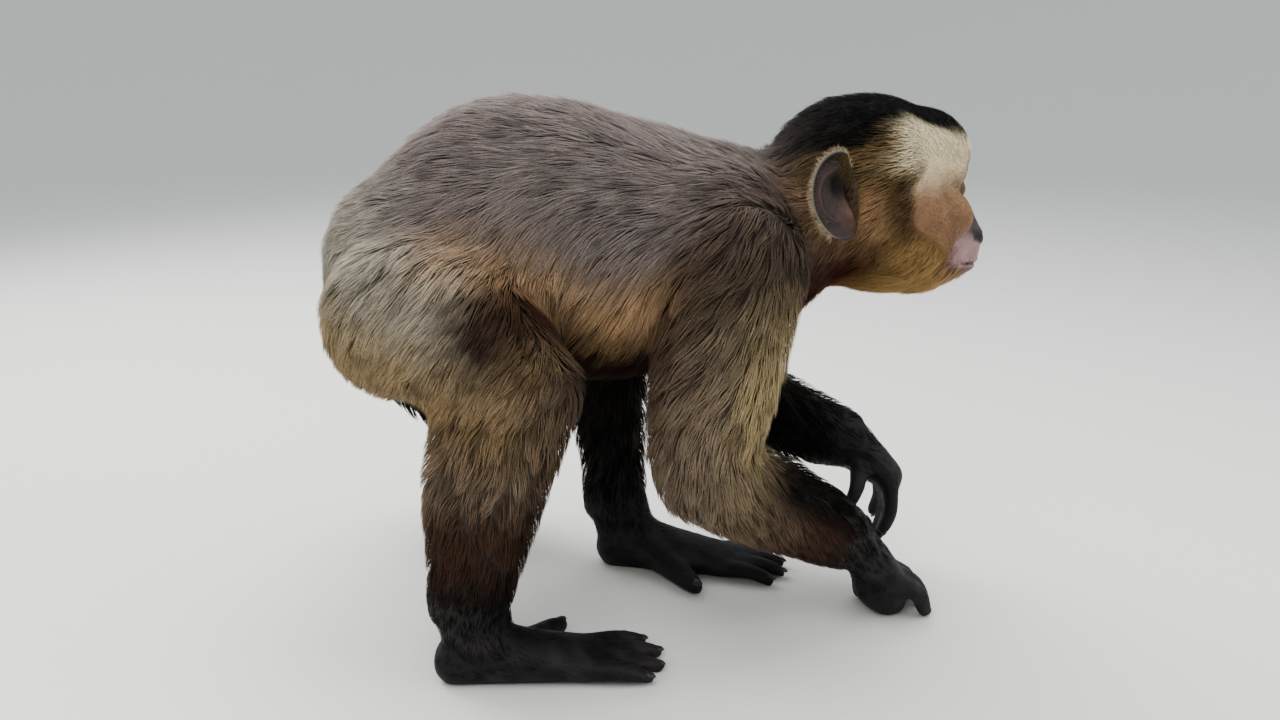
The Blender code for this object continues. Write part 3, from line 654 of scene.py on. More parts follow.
    def face(self, out: Array, points: Array, ahead: Array, apart: Array, up: Array) -> Array:
        """Lays the naked face over the head: its darker nose, with painted shade in the nostrils, at
        the lids and along the lip line.
        """
        naked = self.bare(points)
        fleck = 0.5 + 0.5 * ripple(points, 0.006, 33)
        skin = np.tile(self.tone("face"), (len(points), 1))
        skin = self.over(skin, "cream", 0.75 * smooth(0, 15, up)
                         * (1.0 - 0.6 * bump(13.0, 9.0, np.hypot(apart - 13.0, up - 4.5))))
        skin = self.over(skin, "cheek", 0.20 * smooth(22, 34, apart))
        skin = self.over(skin, "lip", smooth(-12, -24, up) * smooth(24, 38, ahead))
        skin = self.over(skin, "beard", 0.40 * smooth(-12, -26, up) * smooth(26, 8, ahead))
        wide = np.interp(up, (-25.0, -22.0, -17.0, -12.0, -6.0, 4.0, 9.0),
                         (10.0, 13.5, 14.6, 14.0, 12.0, 8.0, 3.5))
        dark = (smooth(3.0, -1.8, apart - wide + 0.5 * fleck) * smooth(11, 2, up)
                * smooth(-26.5, -23.0, up) * smooth(32, 40, ahead))
        # greyer skin beside the nose: partly its own grey, partly painted shade on the sides of the
        # muzzle
        nose_side_shade = (smooth(7.0, 0.0, apart - wide) * smooth(14, 4, up)
                  * smooth(-24, -16, up) * smooth(26, 36, ahead))
        skin = self.over(skin, "nose", 0.40 * nose_side_shade)
        skin = self.over(skin, "nose", (0.82 + 0.14 * fleck) * dark)
        # painted shade in the nostrils
        skin = self.over(skin, "pit", 0.70 * dark * smooth(-15, -21, up))
        eye = np.array(self.anatomy.eye_place) / MM
        near = np.hypot(apart - eye[1], up - eye[2])
        # a darker ring round each eye, partly the skin's own tone and partly painted shade in the
        # socket, then painted shade at the lids' edge
        skin = self.over(skin, "sideburn", 0.66 * smooth(14.0, 7.5, near) * smooth(16, 26, ahead))
        skin = self.over(skin, "pit", 0.75 * smooth(8.0, 5.6, near) * smooth(20, 28, ahead))
        skin = self.over(skin, "cheek", 0.30 * bump(13.0, 2.5, near))
        line = FaceShape.mouth(apart)
        # painted shade along the line between the lips
        skin = self.over(skin, "pit", 0.45 * bump(line, 0.7, up) * smooth(21, 17, apart)
                         * smooth(22, 30, ahead))
        skin = self.over(skin, "nose", 0.30 * bump(line - 2.0, 2.2, up) * smooth(20, 14, apart)
                         * smooth(30, 42, ahead))
        skin = skin * (0.90 + 0.16 * fleck)[:, None]
        return out * (1 - naked[:, None]) + skin * naked[:, None]


# ---------------- shape of the bare face
@dataclass(frozen=True)
class FaceShape:
    """Brows, folds, nostrils, lips and eye sockets, laid over the skin of the face."""

    anatomy: Anatomy

    @staticmethod
    def mouth(apart: Array) -> Array:
        """Height of the line between the lips, in millimetres of the head's frame."""
        return -35.4 + 0.0035 * apart ** 2

    def relief(self, points: Array) -> Array:
        """How far the skin stands out (or in, below 0) at each point, in millimetres."""
        ahead, left, up = self.anatomy.to_head(points)
        apart = np.abs(left)
        front = smooth(18, 30, ahead)
        near = np.hypot(apart - 13.0, up - 4.5)
        below = smooth(3.0, -5.0, up - 4.5)
        out = 0.9 * bump(12.0, 9.0, apart) * bump(15.5, 3.2, up)
        out = out - 0.45 * bump(2.4, 0.8, apart) * bump(10.0, 5.0, up)
        out = out - 0.55 * bump(12.3, 0.8, near) * below - 0.40 * bump(15.6, 0.9, near) * below
        out = out - 0.35 * bump(13.4, 0.7, near) * smooth(1.0, 6.0, up - 4.5)
        out = out + 1.0 * bump(8.4, 2.3, apart) * bump(-20.0, 3.4, up)
        out = out - 0.9 * bump(12.2, 1.3, apart) * bump(-18.5, 4.5, up)
        out = out - 0.35 * bump(0.0, 0.8, apart) * bump(-22.0, 4.5, up)
        slant = apart - 6.9 - 0.35 * (up + 20.5)
        out = out - 3.0 * bump(0.0, 1.35, slant) * bump(-21.2, 2.1, up)
        out = out - 0.5 * bump(-26.2, 1.2, up) * smooth(12, 8, apart)
        fold = apart - 12.5 + 0.45 * (up + 17.0)
        out = out - 0.8 * bump(0.0, 1.2, fold) * smooth(-15, -19, up) * smooth(-38, -33, up)
        line = self.mouth(apart)
        lips = smooth(21.0, 17.0, apart)
        out = out - 1.15 * bump(line, 0.65, up) * lips
        out = out + 0.55 * bump(line + 2.1, 1.2, up) * lips + 0.7 * bump(line - 2.3, 1.4, up) * lips
        out = out - 0.5 * bump(line - 5.2, 1.3, up) * smooth(13, 8, apart)
        out = out + 0.10 * ripple(points, 0.0025, 41)
        return out * front

    def pressed(self, points: Array) -> Array:
        """The points with a socket round each eyeball, in the animal's frame."""
        out = points.copy()
        for side in Side:
            eye = Eye(self.anatomy, side)
            centre = self.anatomy.local(eye.centre[None])[0]
            away = out - centre
            reach = np.linalg.norm(away, axis=1)
            angle = np.degrees(np.arccos(np.clip(unit(away) @ eye.axes[:, 0], -1.0, 1.0)))
            wanted = eye.radius + np.interp(angle, (0, 36, 50, 58, 66, 80, 100),
                                            (0.8, 0.8, 1.0, 0.75, 1.0, 1.8, 2.3)) * MM
            hold = np.where(wanted > reach, smooth(118.0, 88.0, angle),
                            smooth(84.0, 54.0, angle)) * smooth(0.022, 0.014, reach)
            out = out + unit(away) * ((wanted - reach) * hold)[:, None]
        return out


# ---------------- finishes
class Shading:
    """A material in the making: nodes round one shader, joined socket to socket."""

    def __init__(self, name: str, **values: float | tuple[float, ...]) -> None:
        """Starts a material, with the shader's inputs named by words joined by underscores."""
        self.material = bpy.data.materials.new(name)
        self.material.use_nodes = True
        self.tree = self.material.node_tree
        self.shader = self.tree.nodes["Principled BSDF"]
        for key, value in values.items():
            self.shader.inputs[key.replace("_", " ")].default_value = value

    def node(self, kind: str, inputs: dict[str | int, object] | None = None,
             **settings: object) -> Node:
        """Adds a node with these settings and input values."""
        node = self.tree.nodes.new("ShaderNode" + kind)
        for key, value in settings.items():
            setattr(node, key, value)
        for key, value in (inputs or {}).items():
            node.inputs[key].default_value = value
        return node

    def chain(self, *steps: tuple[Node, str | int, Node, str | int]) -> None:
        """Joins an output of one node to an input of another, step by step."""
        for source, output, target, entry in steps:
            self.tree.links.new(source.outputs[output], target.inputs[entry])

    def markings(self, place: Node, grain: dict[str | int, object],
                 spread: dict[str | int, object]) -> None:
        """Colours the shader by the markings, made lighter and darker by a fine grain."""
        colour = self.node("Attribute", attribute_name="markings")
        noise = self.node("TexNoise", grain)
        levels = self.node("MapRange", spread)
        tint = self.node("Mix", data_type="RGBA", blend_type="MULTIPLY")
        tint.inputs["Factor"].default_value = 1.0
        self.chain((place, "Object", noise, "Vector"), (noise, "Fac", levels, "Value"),
                   (colour, "Color", tint, "A"), (levels, "Result", tint, "B"),
                   (tint, "Result", self.shader, "Base Color"))


@dataclass(frozen=True)
class SkinFinish:
    """Naked or furred skin: the markings with pores, creases and a soft sheen."""

    name: str = "bare_skin"
    roughness: float = 0.60
    crease: float = 0.45
    grain: float = 900.0

    def made(self) -> Material:
        """Builds the material."""
        shading = Shading(self.name, Roughness=self.roughness, Specular_IOR_Level=0.35)
        place = shading.node("TexCoord")
        shading.markings(place, {"Scale": 160.0, "Detail": 5.0}, {"To Min": 0.72, "To Max": 1.22})
        wrinkle = shading.node("TexVoronoi", {"Scale": self.grain}, feature="DISTANCE_TO_EDGE")
        fine = shading.node("TexNoise", {"Scale": self.grain * 1.6})
        lift = shading.node("Math", {1: 0.5}, operation="MULTIPLY_ADD")
        relief = shading.node("Bump", {"Strength": self.crease, "Distance": 0.0006})
        shading.chain((place, "Object", wrinkle, "Vector"), (place, "Object", fine, "Vector"),
                      (fine, "Fac", lift, 0), (wrinkle, "Distance", lift, 2),
                      (lift, "Value", relief, "Height"),
                      (relief, "Normal", shading.shader, "Normal"))
        return shading.material


@dataclass(frozen=True)
class FurFinish:
    """Hair: the tuft's own colours, with finer strands shaded in."""

    name: str = "fur"
    roughness: float = 0.72
    gloss: float = 0.10
    sheen: float = 0.03

    def made(self) -> Material:
        """Builds the material."""
        shading = Shading(self.name, Roughness=self.roughness, Specular_IOR_Level=self.gloss,
                          Sheen_Weight=self.sheen, Sheen_Roughness=0.45)
        shading.markings(shading.node("TexCoord"), {"Scale": 1400.0, "Detail": 2.0},
                         {"From Min": 0.3, "From Max": 0.7, "To Min": 0.75, "To Max": 1.25})
        return shading.material


# ---------------- mesh helpers
def deselect_all() -> None:
    """Leaves object mode with nothing selected."""
    if bpy.context.object is not None and bpy.context.object.mode != "OBJECT":
        bpy.ops.object.mode_set(mode="OBJECT")
    bpy.ops.object.select_all(action="DESELECT")


def activate(obj: Object) -> None:
    """Selects one object alone and makes it the active one."""
    deselect_all()
    obj.select_set(True)
    bpy.context.view_layer.objects.active = obj


def in_scene(data: bpy.types.ID) -> Object:
    """Puts a mesh, camera or light into the scene as an object of the same name."""
    obj = bpy.data.objects.new(data.name, data)
    bpy.context.scene.collection.objects.link(obj)
    return obj


def face_outwards(obj: Object, inside: bool = False) -> None:
    """Turns all faces of a mesh outwards, or inwards for a room."""
    activate(obj)
    bpy.ops.object.mode_set(mode="EDIT")
    bpy.ops.mesh.select_all(action="SELECT")
    bpy.ops.mesh.normals_make_consistent(inside=inside)
    bpy.ops.object.mode_set(mode="OBJECT")


def apply_modifier(obj: Object, kind: str, **settings: object) -> None:
    """Adds one modifier with these settings and applies it."""
    activate(obj)
    modifier = obj.modifiers.new(kind.title(), kind)
    for key, value in settings.items():
        setattr(modifier, key, value)
    bpy.ops.object.modifier_apply(modifier=modifier.name)


def points_of(obj: Object) -> Array:
    """An object's vertices, one row each."""
    flat = np.empty(len(obj.data.vertices) * 3, np.float32)
    obj.data.vertices.foreach_get("co", flat)
    return flat.reshape(-1, 3).astype(float)


def normals_of(obj: Object) -> Array:
    """An object's vertex normals, one row each."""
    flat = np.empty(len(obj.data.vertices) * 3, np.float32)
    obj.data.vertex_normals.foreach_get("vector", flat)
    return flat.reshape(-1, 3).astype(float)


def set_points(obj: Object, points: Array) -> None:
    """Moves an object's vertices."""
    obj.data.vertices.foreach_set("co", points.astype(np.float32).ravel())
    obj.data.update()


def paint(mesh: Mesh, colours: Array) -> None:
    """Stores a colour for each vertex as the attribute that the finishes read."""
    layer = mesh.color_attributes.new("markings", "FLOAT_COLOR", "POINT")
    rows = np.ones((len(colours), 4), np.float32)
    rows[:, :3] = np.clip(colours, 0.0, 1.0)
    layer.data.foreach_set("color", rows.ravel())


def choose(obj: Object, mask: Array) -> None:
    """Enters edit mode with only the masked vertices, and what lies between them, selected."""
    activate(obj)
    bpy.context.tool_settings.mesh_select_mode = (True, False, False)
    obj.data.polygons.foreach_set("select", np.zeros(len(obj.data.polygons), bool))
    obj.data.edges.foreach_set("select", np.zeros(len(obj.data.edges), bool))
    obj.data.vertices.foreach_set("select", mask)
    bpy.ops.object.mode_set(mode="EDIT")


def attach(obj: Object, slot: str, *nodes: str) -> None:
    """Hangs a finished piece on the body and hides the solids that it replaces."""
    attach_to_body(obj, BODY)
    if nodes:
        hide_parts(*nodes)
    log.info("%s: %d faces", obj.name, len(obj.data.polygons))


# ---------------- skin
@dataclass
class Skin:
    """One skin from nose to tail tip, drawn in under the coat."""

    anatomy: Anatomy
    markings: Markings
    nodes: dict[str, Object]
    overlap: float = 0.0011     # how far the copies swell to bridge the cuts between them
    cut_angle: float = math.radians(70.0)   # edges sharper than this are rims of the cuts
    voxel: float = 0.0012
    coarse_faces: int = 74000   # triangles before the face is refined
    slot: str = "face_skin"
    obj: Object | None = None

    def flesh(self) -> list[str]:
        """The nodes that the skin stands for: all but the eyes."""
        return sorted(name for name in self.nodes if not name.startswith("eye"))

    def melted(self) -> Object:
        """Copies the fleshy nodes, swells them over their cuts and melts them together."""
        deselect_all()
        for name in self.flesh():
            if not name.startswith("ear"):      # the ears are shaped finer, by Ear
                self.nodes[name].select_set(True)
                bpy.context.view_layer.objects.active = self.nodes[name]
        bpy.ops.object.duplicate()
        bpy.ops.object.parent_clear(type="CLEAR_KEEP_TRANSFORM")
        bpy.ops.object.join()
        skin = bpy.context.view_layer.objects.active
        skin.name = skin.data.name = "skin"
        for key in list(skin.keys()):
            del skin[key]
        bpy.ops.object.mode_set(mode="EDIT")
        bpy.ops.mesh.select_all(action="SELECT")
        bpy.ops.mesh.remove_doubles(threshold=1e-6)
        bpy.ops.object.mode_set(mode="OBJECT")
        skin.data.materials.clear()
        self.round_off(skin)
        apply_modifier(skin, "DISPLACE", strength=self.overlap, mid_level=0.0)
        apply_modifier(skin, "REMESH", mode="VOXEL", voxel_size=self.voxel)
        apply_modifier(skin, "SMOOTH", factor=0.5, iterations=6)
        return skin

    def round_off(self, skin: Object) -> None:
        """Rounds the facets, keeps the rims of the cuts, and closes each eye with a lid ball."""
        bm = bmesh.new()
        bm.from_mesh(skin.data)
        crease = bm.edges.layers.float.new("crease_edge")
        for edge in bm.edges:
            if len(edge.link_faces) == 2 and edge.calc_face_angle() > self.cut_angle:
                edge[crease] = 1.0
        bm.to_mesh(skin.data)
        bm.free()
        apply_modifier(skin, "SUBSURF", levels=2, render_levels=2)
        bm = bmesh.new()
        bm.from_mesh(skin.data)
        for side in Side:
            eye = Eye(self.anatomy, side)
            bmesh.ops.create_uvsphere(bm, u_segments=40, v_segments=28,
                                      radius=eye.radius + eye.lid - self.overlap,
                                      matrix=Matrix.Translation(Vector(eye.centre)))
        bm.to_mesh(skin.data)
        bm.free()

    def build(self) -> Object:
        """Makes the skin piece."""
        skin = self.melted()
        self.draw_in(skin)
        self.thin_out(skin)
        self.shape_face(skin)
        points = points_of(skin)
        points[:, 2] = np.maximum(points[:, 2], 0.0)
        set_points(skin, points)
        self.obj = skin
        paint(skin.data, self.tones(self.anatomy.local(points)))
        skin.data.materials.append(SkinFinish().made())
        activate(skin)
        bpy.ops.object.shade_smooth()
        attach(skin, self.slot, *self.flesh())
        return skin

    def tones(self, points: Array) -> Array:
        """The markings, darkened where the coat shades the skin."""
        growth = Growth(self.anatomy, self.markings)
        cover = smooth(0.0, 3.0 * MM, growth.depths(points))
        return self.markings.colours(points) * (1.0 - 0.55 * cover)[:, None]

    def draw_in(self, skin: Object) -> None:
        """Moves the skin inwards by the depth of the coat over it."""
        points, normals = points_of(skin), normals_of(skin)
        depth = Growth(self.anatomy, self.markings).depths(self.anatomy.local(points))
        set_points(skin, points - normals * depth[:, None])
        apply_modifier(skin, "SMOOTH", factor=0.5, iterations=3)

    def thin_out(self, skin: Object) -> None:
        """Spends the triangles on bare skin and few under the fur."""
        depth = Growth(self.anatomy, self.markings).depths(self.anatomy.local(points_of(skin)))
        group = skin.vertex_groups.new(name="furred")
        levels = np.round(np.clip(depth / 0.004, 0.03, 1.0) * 10 + 0.2) / 10
        for level in np.unique(levels):
            group.add(np.flatnonzero(levels == level).tolist(), float(level), "REPLACE")
        triangles = sum(len(p.vertices) - 2 for p in skin.data.polygons)
        if triangles > self.coarse_faces:
            apply_modifier(skin, "DECIMATE", ratio=self.coarse_faces / triangles,
                           vertex_group="furred", vertex_group_factor=1.0)
        skin.vertex_groups.clear()

    def shape_face(self, skin: Object) -> None:
        """Refines the face, most around eyes, nostrils and lips, and shapes its features."""
        for level in (0, 1):
            choose(skin, self.fine(self.anatomy.local(points_of(skin)), level))
            bpy.ops.mesh.subdivide(number_cuts=1)
            bpy.ops.mesh.vertices_smooth(factor=0.5, repeat=3)
            bpy.ops.object.mode_set(mode="OBJECT")
        shape = FaceShape(self.anatomy)
        local = self.anatomy.local(points_of(skin))
        naked = Growth(self.anatomy, self.markings).naked(local)
        lift = shape.relief(local) * MM * smooth(0.0, 0.5, naked)
        local = shape.pressed(local + normals_of(skin) * lift[:, None])
        set_points(skin, self.anatomy.placed(local))
        self.open_eyes(skin)

    def open_eyes(self, skin: Object) -> None:
        """Cuts the almond openings and turns their edges in, so that the lids have thickness."""
        bm = bmesh.new()
        bm.from_mesh(skin.data)
        for side in Side:
            eye = Eye(self.anatomy, side)
            bm.verts.ensure_lookup_table()
            within = eye.inside(np.array([vert.co for vert in bm.verts]))
            doomed = [bm.verts[i] for i in np.flatnonzero(within)]
            bmesh.ops.delete(bm, geom=doomed, context="VERTS")
            for height, narrower in ((eye.lid, 0.0), (0.5 * eye.lid, 0.035), (-eye.lid, 0.035)):
                rim = [edge.link_loops[0] for edge in bm.edges if edge.is_boundary
                       and (edge.verts[0].co - Vector(eye.centre)).length < 0.013]
                ends = list(dict.fromkeys(loop.vert for loop in rim))
                if narrower > 0.0:      # made one by one, in the same order on every run
                    turned = {vert: bm.verts.new(vert.co) for vert in ends}
                    for loop in rim:
                        start, end = loop.vert, loop.link_loop_next.vert
                        bm.faces.new((end, start, turned[start], turned[end]))
                    ends = list(turned.values())
                for vert, place in zip(ends, eye.edge(np.array([v.co for v in ends]),
                                                      height, narrower)):
                    vert.co = place
        bm.to_mesh(skin.data)
        bm.free()

    def fine(self, points: Array, level: int) -> Array:
        """True on the face at level 0, and around its finest features at level 1."""
        ahead, left, up = self.anatomy.to_head(points)
        apart = np.abs(left)
        if level == 0:
            return (ahead > 14) & (apart < 36) & (up > -46) & (up < 22)
        near = np.hypot(apart - 13.0, up - 4.5)
        eyes = (near > 2.5) & (near < 9.5) & (ahead > 24)
        nose = (apart < 13) & (up > -27) & (up < -15) & (ahead > 46)
        mouth = (apart < 23) & (np.abs(up - FaceShape.mouth(apart)) < 2.2) & (ahead > 24)
        return eyes | nose | mouth

    def join(self, pieces: list[Object]) -> None:
        """Joins the ears to the skin, so that the hide stays one piece."""
        deselect_all()
        for piece in pieces:
            piece.data.materials.append(self.obj.data.materials[0])
            piece.select_set(True)
        self.obj.select_set(True)
        bpy.context.view_layer.objects.active = self.obj
        bpy.ops.object.join()
        log.info("skin with ears: %d triangles",
                 sum(len(p.vertices) - 2 for p in self.obj.data.polygons))


# ---------------- ears
@dataclass
class Ear:
    """One ear: rolled rim, groove, ridge, dark hollow and the flaps before it."""

    anatomy: Anatomy
    markings: Markings
    side: Side
    height: float = 0.0430
    width: float = 0.0330
    wall: float = 0.0026
    spokes: int = 88

    def __post_init__(self) -> None:
        """Finds the ear's centre and its own axes: rear, up and out of its hollow."""
        side = self.side.value
        turn = self.anatomy.head_axes
        out = unit(turn @ np.array((0.16, side * 0.98, 0.06)))
        up = turn @ np.array((-0.16, side * 0.12, 1.0))
        self.up = unit(up - out * (up @ out))
        rear = np.cross(out, self.up) * -side
        self.rear = rear if rear[0] < 0.0 else -rear
        self.out = out
        place = np.array(self.anatomy.ear_place) * (1.0, side, 1.0)
        self.centre = self.anatomy.placed(self.anatomy.from_head(place[None]))[0]

    def relief(self, a: Array, b: Array) -> Array:
        """How far the hollow's surface stands out at rearwards a and upwards b, both -1 to 1."""
        reach, turn = np.hypot(a, b), np.degrees(np.arctan2(b, a))
        rim = smooth(-88, -50, turn) * smooth(158, 128, turn)
        inner = smooth(-110, -60, turn) * smooth(118, 85, turn)

        def spot(height: float, at: tuple[float, float], size: tuple[float, float]) -> Array:
            """A soft hump or pit of this height at one place of the ear."""
            return height * np.exp(-(((a - at[0]) / size[0]) ** 2 + ((b - at[1]) / size[1]) ** 2))

        out = 7.6 * reach ** 2 - 8.5 * smooth(-0.30, -1.0, a) - 2.0 * smooth(-0.5, -1.0, b)
        out = out + rim * (1.5 * bump(0.945, 0.055, reach) - 1.1 * bump(0.80, 0.075, reach))
        out = out + 1.5 * bump(0.57, 0.085, reach) * inner
        out = out + spot(-3.6, (-0.26, 0.22), (0.30, 0.28)) + spot(-2.2, (-0.60, -0.08), (0.09, 0.26))
        out = out + spot(2.6, (-0.84, 0.02), (0.15, 0.24)) + spot(2.4, (-0.30, -0.46), (0.26, 0.17))
        out = out + spot(-1.0, (-0.62, -0.46), (0.08, 0.16)) + spot(-1.0, (0.02, 0.62), (0.26, 0.09))
        return out * MM

    def tones(self, a: Array, b: Array) -> Array:
        """Pale rim, grey groove, pink flaps and lobe, with painted shade in the dark hollow and along
        the groove.
        """
        reach, turn = np.hypot(a, b), np.degrees(np.arctan2(b, a))
        over = self.markings.over
        out = np.tile(self.markings.tone("ear"), (len(a), 1))
        fleck = 0.10 * np.sin(23 * a + 5 * b) * np.sin(17 * b - 3 * a)
        out = over(out, "ear_pink", 0.9
                   * np.exp(-(((a + 0.42) / 0.42) ** 2 + ((b + 0.45) / 0.42) ** 2)) + fleck)
        out = over(out, "ear_pink", 0.5 * bump(0.57, 0.10, reach) * smooth(-0.6, 0.2, b))
        # painted shade in the ear's hollow, in the pit before it and along the groove
        out = over(out, "concha", 0.95
                   * np.exp(-(((a + 0.27) / 0.33) ** 2 + ((b - 0.20) / 0.31) ** 2) ** 1.5))
        out = over(out, "concha", 0.95
                   * np.exp(-(((a + 0.60) / 0.10) ** 2 + ((b + 0.08) / 0.30) ** 2)))
        out = over(out, "concha", 0.35 * bump(0.82, 0.08, reach) * smooth(-40, 30, turn))
        rim = smooth(-88, -50, turn) * smooth(158, 128, turn)
        return over(out, "ear_rim", 0.75 * rim * smooth(0.92, 0.98, reach))

    def spread(self, a: Array, b: Array) -> Array:
        """Places of the ear's plane, without its relief."""
        wide = 0.5 * self.width * a * np.where(a > 0, 1.0, 0.84)
        tall = 0.5 * self.height * b * (1.0 - 0.06 * a)
        return self.centre + np.outer(wide, self.rear) + np.outer(tall, self.up)

    def build(self) -> Object:
        """Makes the ear as one closed shell: its hollow, its rounded rim and its back."""
        front = np.linspace(0.0, 1.0, 33)[1:]
        back = np.linspace(1.0, 0.0, 11)[:-1]
        rows = [(share, 0.0) for share in front] + [(share, 1.0) for share in back]
        turns = np.arange(self.spokes) * 2 * math.pi / self.spokes
        points, tones = [], []
        for share, layer in [(0.0, 0.0)] + rows + [(0.0, 1.0)]:
            ring = turns[:1] if share == 0.0 else turns
            a, b = share * np.cos(ring), share * np.sin(ring)
            height = self.relief(a, b) if layer == 0.0 else MM * (
                7.6 * share ** 2 - 8.5 * smooth(-0.30, -1.0, a) - 2.0 * smooth(-0.5, -1.0, b))
            sink = layer * (self.wall * 0.55 + 0.0055 * (1.0 - share ** 2))
            reach = 1.0 - 0.012 * layer * (share > 0.99)
            points.append(self.spread(a * reach, b * reach) + np.outer(height - sink, self.out))
            tones.append(self.tones(a, b) if layer == 0.0 else
                         np.tile(self.markings.tone("ear"), (len(a), 1)))
        points, tones = np.concatenate(points), np.concatenate(tones)
        count, spokes = len(rows), self.spokes
        faces = [(0, 1 + k, 1 + (k + 1) % spokes) for k in range(spokes)]
        for row in range(count - 1):
            base = 1 + row * spokes
            faces += [(base + k, base + spokes + k, base + spokes + (k + 1) % spokes,
                       base + (k + 1) % spokes) for k in range(spokes)]
        base, end = 1 + (count - 1) * spokes, len(points) - 1
        faces += [(base + k, end, base + (k + 1) % spokes) for k in range(spokes)]
        mesh = bpy.data.meshes.new(f"ear_skin_{self.side.word}")
        mesh.from_pydata(points.tolist(), [], faces)
        ear = in_scene(mesh)
        paint(mesh, tones)
        face_outwards(ear)
        bpy.ops.object.shade_smooth()
        return ear

    def hairs(self, rng: np.random.Generator, count: int) -> tuple[Array, ...]:
        """Fine pale hairs along the rim and across the groove.

        Args:
            rng: the coat's random numbers.
            count: how many hairs.

        Returns:
            Stations (hair, station, xyz), directions off the ear, widths and colours.
        """
        kind = rng.random(count)
        on_rim, before = kind < 0.40, kind > 0.62
        turn = np.radians(np.select((on_rim, before), (
            rng.uniform(-62, 150, count), rng.uniform(118, 238, count)),
            rng.uniform(-70, 130, count)))
        share = np.where(on_rim | before, rng.uniform(0.93, 1.0, count),
                         rng.uniform(0.62, 0.90, count))
        a, b = share * np.cos(turn), share * np.sin(turn)
        roots = self.spread(a, b) + np.outer(self.relief(a, b) - 0.0002, self.out)
        radial = unit(np.outer(np.cos(turn) * 0.8, self.rear) + np.outer(np.sin(turn), self.up))
        sweep = self.rear * 0.9 + self.up * 0.25 + self.out * 0.30
        aim = np.where(on_rim[:, None], 0.75 * radial + 0.5 * sweep, 0.15 * radial + sweep)
        aim = np.where(before[:, None], self.rear * 0.8 + self.out * 0.45 - self.up * 0.1, aim)
        aim = unit(aim + rng.normal(0.0, 0.16, (count, 3)) * (1.0 + before[:, None]))
        length = np.select((on_rim, before), (
            rng.uniform(2.2, 4.6, count), rng.uniform(5.0, 10.0, count)),
            rng.uniform(2.5, 4.5, count)) * MM
        steps = np.array((0.0, 0.34, 0.70, 1.0))[None, :, None]
        strands = roots[:, None] + aim[:, None] * (steps * length[:, None, None])
        strands = strands - self.up * (steps ** 2 * length[:, None, None] * 0.15)
        ups = np.tile(self.out, (count, 4, 1))
        tone = np.where(on_rim[:, None], linear(0.66, 0.60, 0.50), linear(0.44, 0.40, 0.37))
        tone = np.where(before[:, None], 0.7 * self.markings.tone("temple"), tone)
        tone = tone * rng.uniform(0.6, 1.15, (count, 1))
        colours = tone[:, None] * np.array((0.8, 1.0, 1.05, 1.1))[None, :, None]
        return strands, ups, np.where(before, 0.22, 0.17) * MM, colours


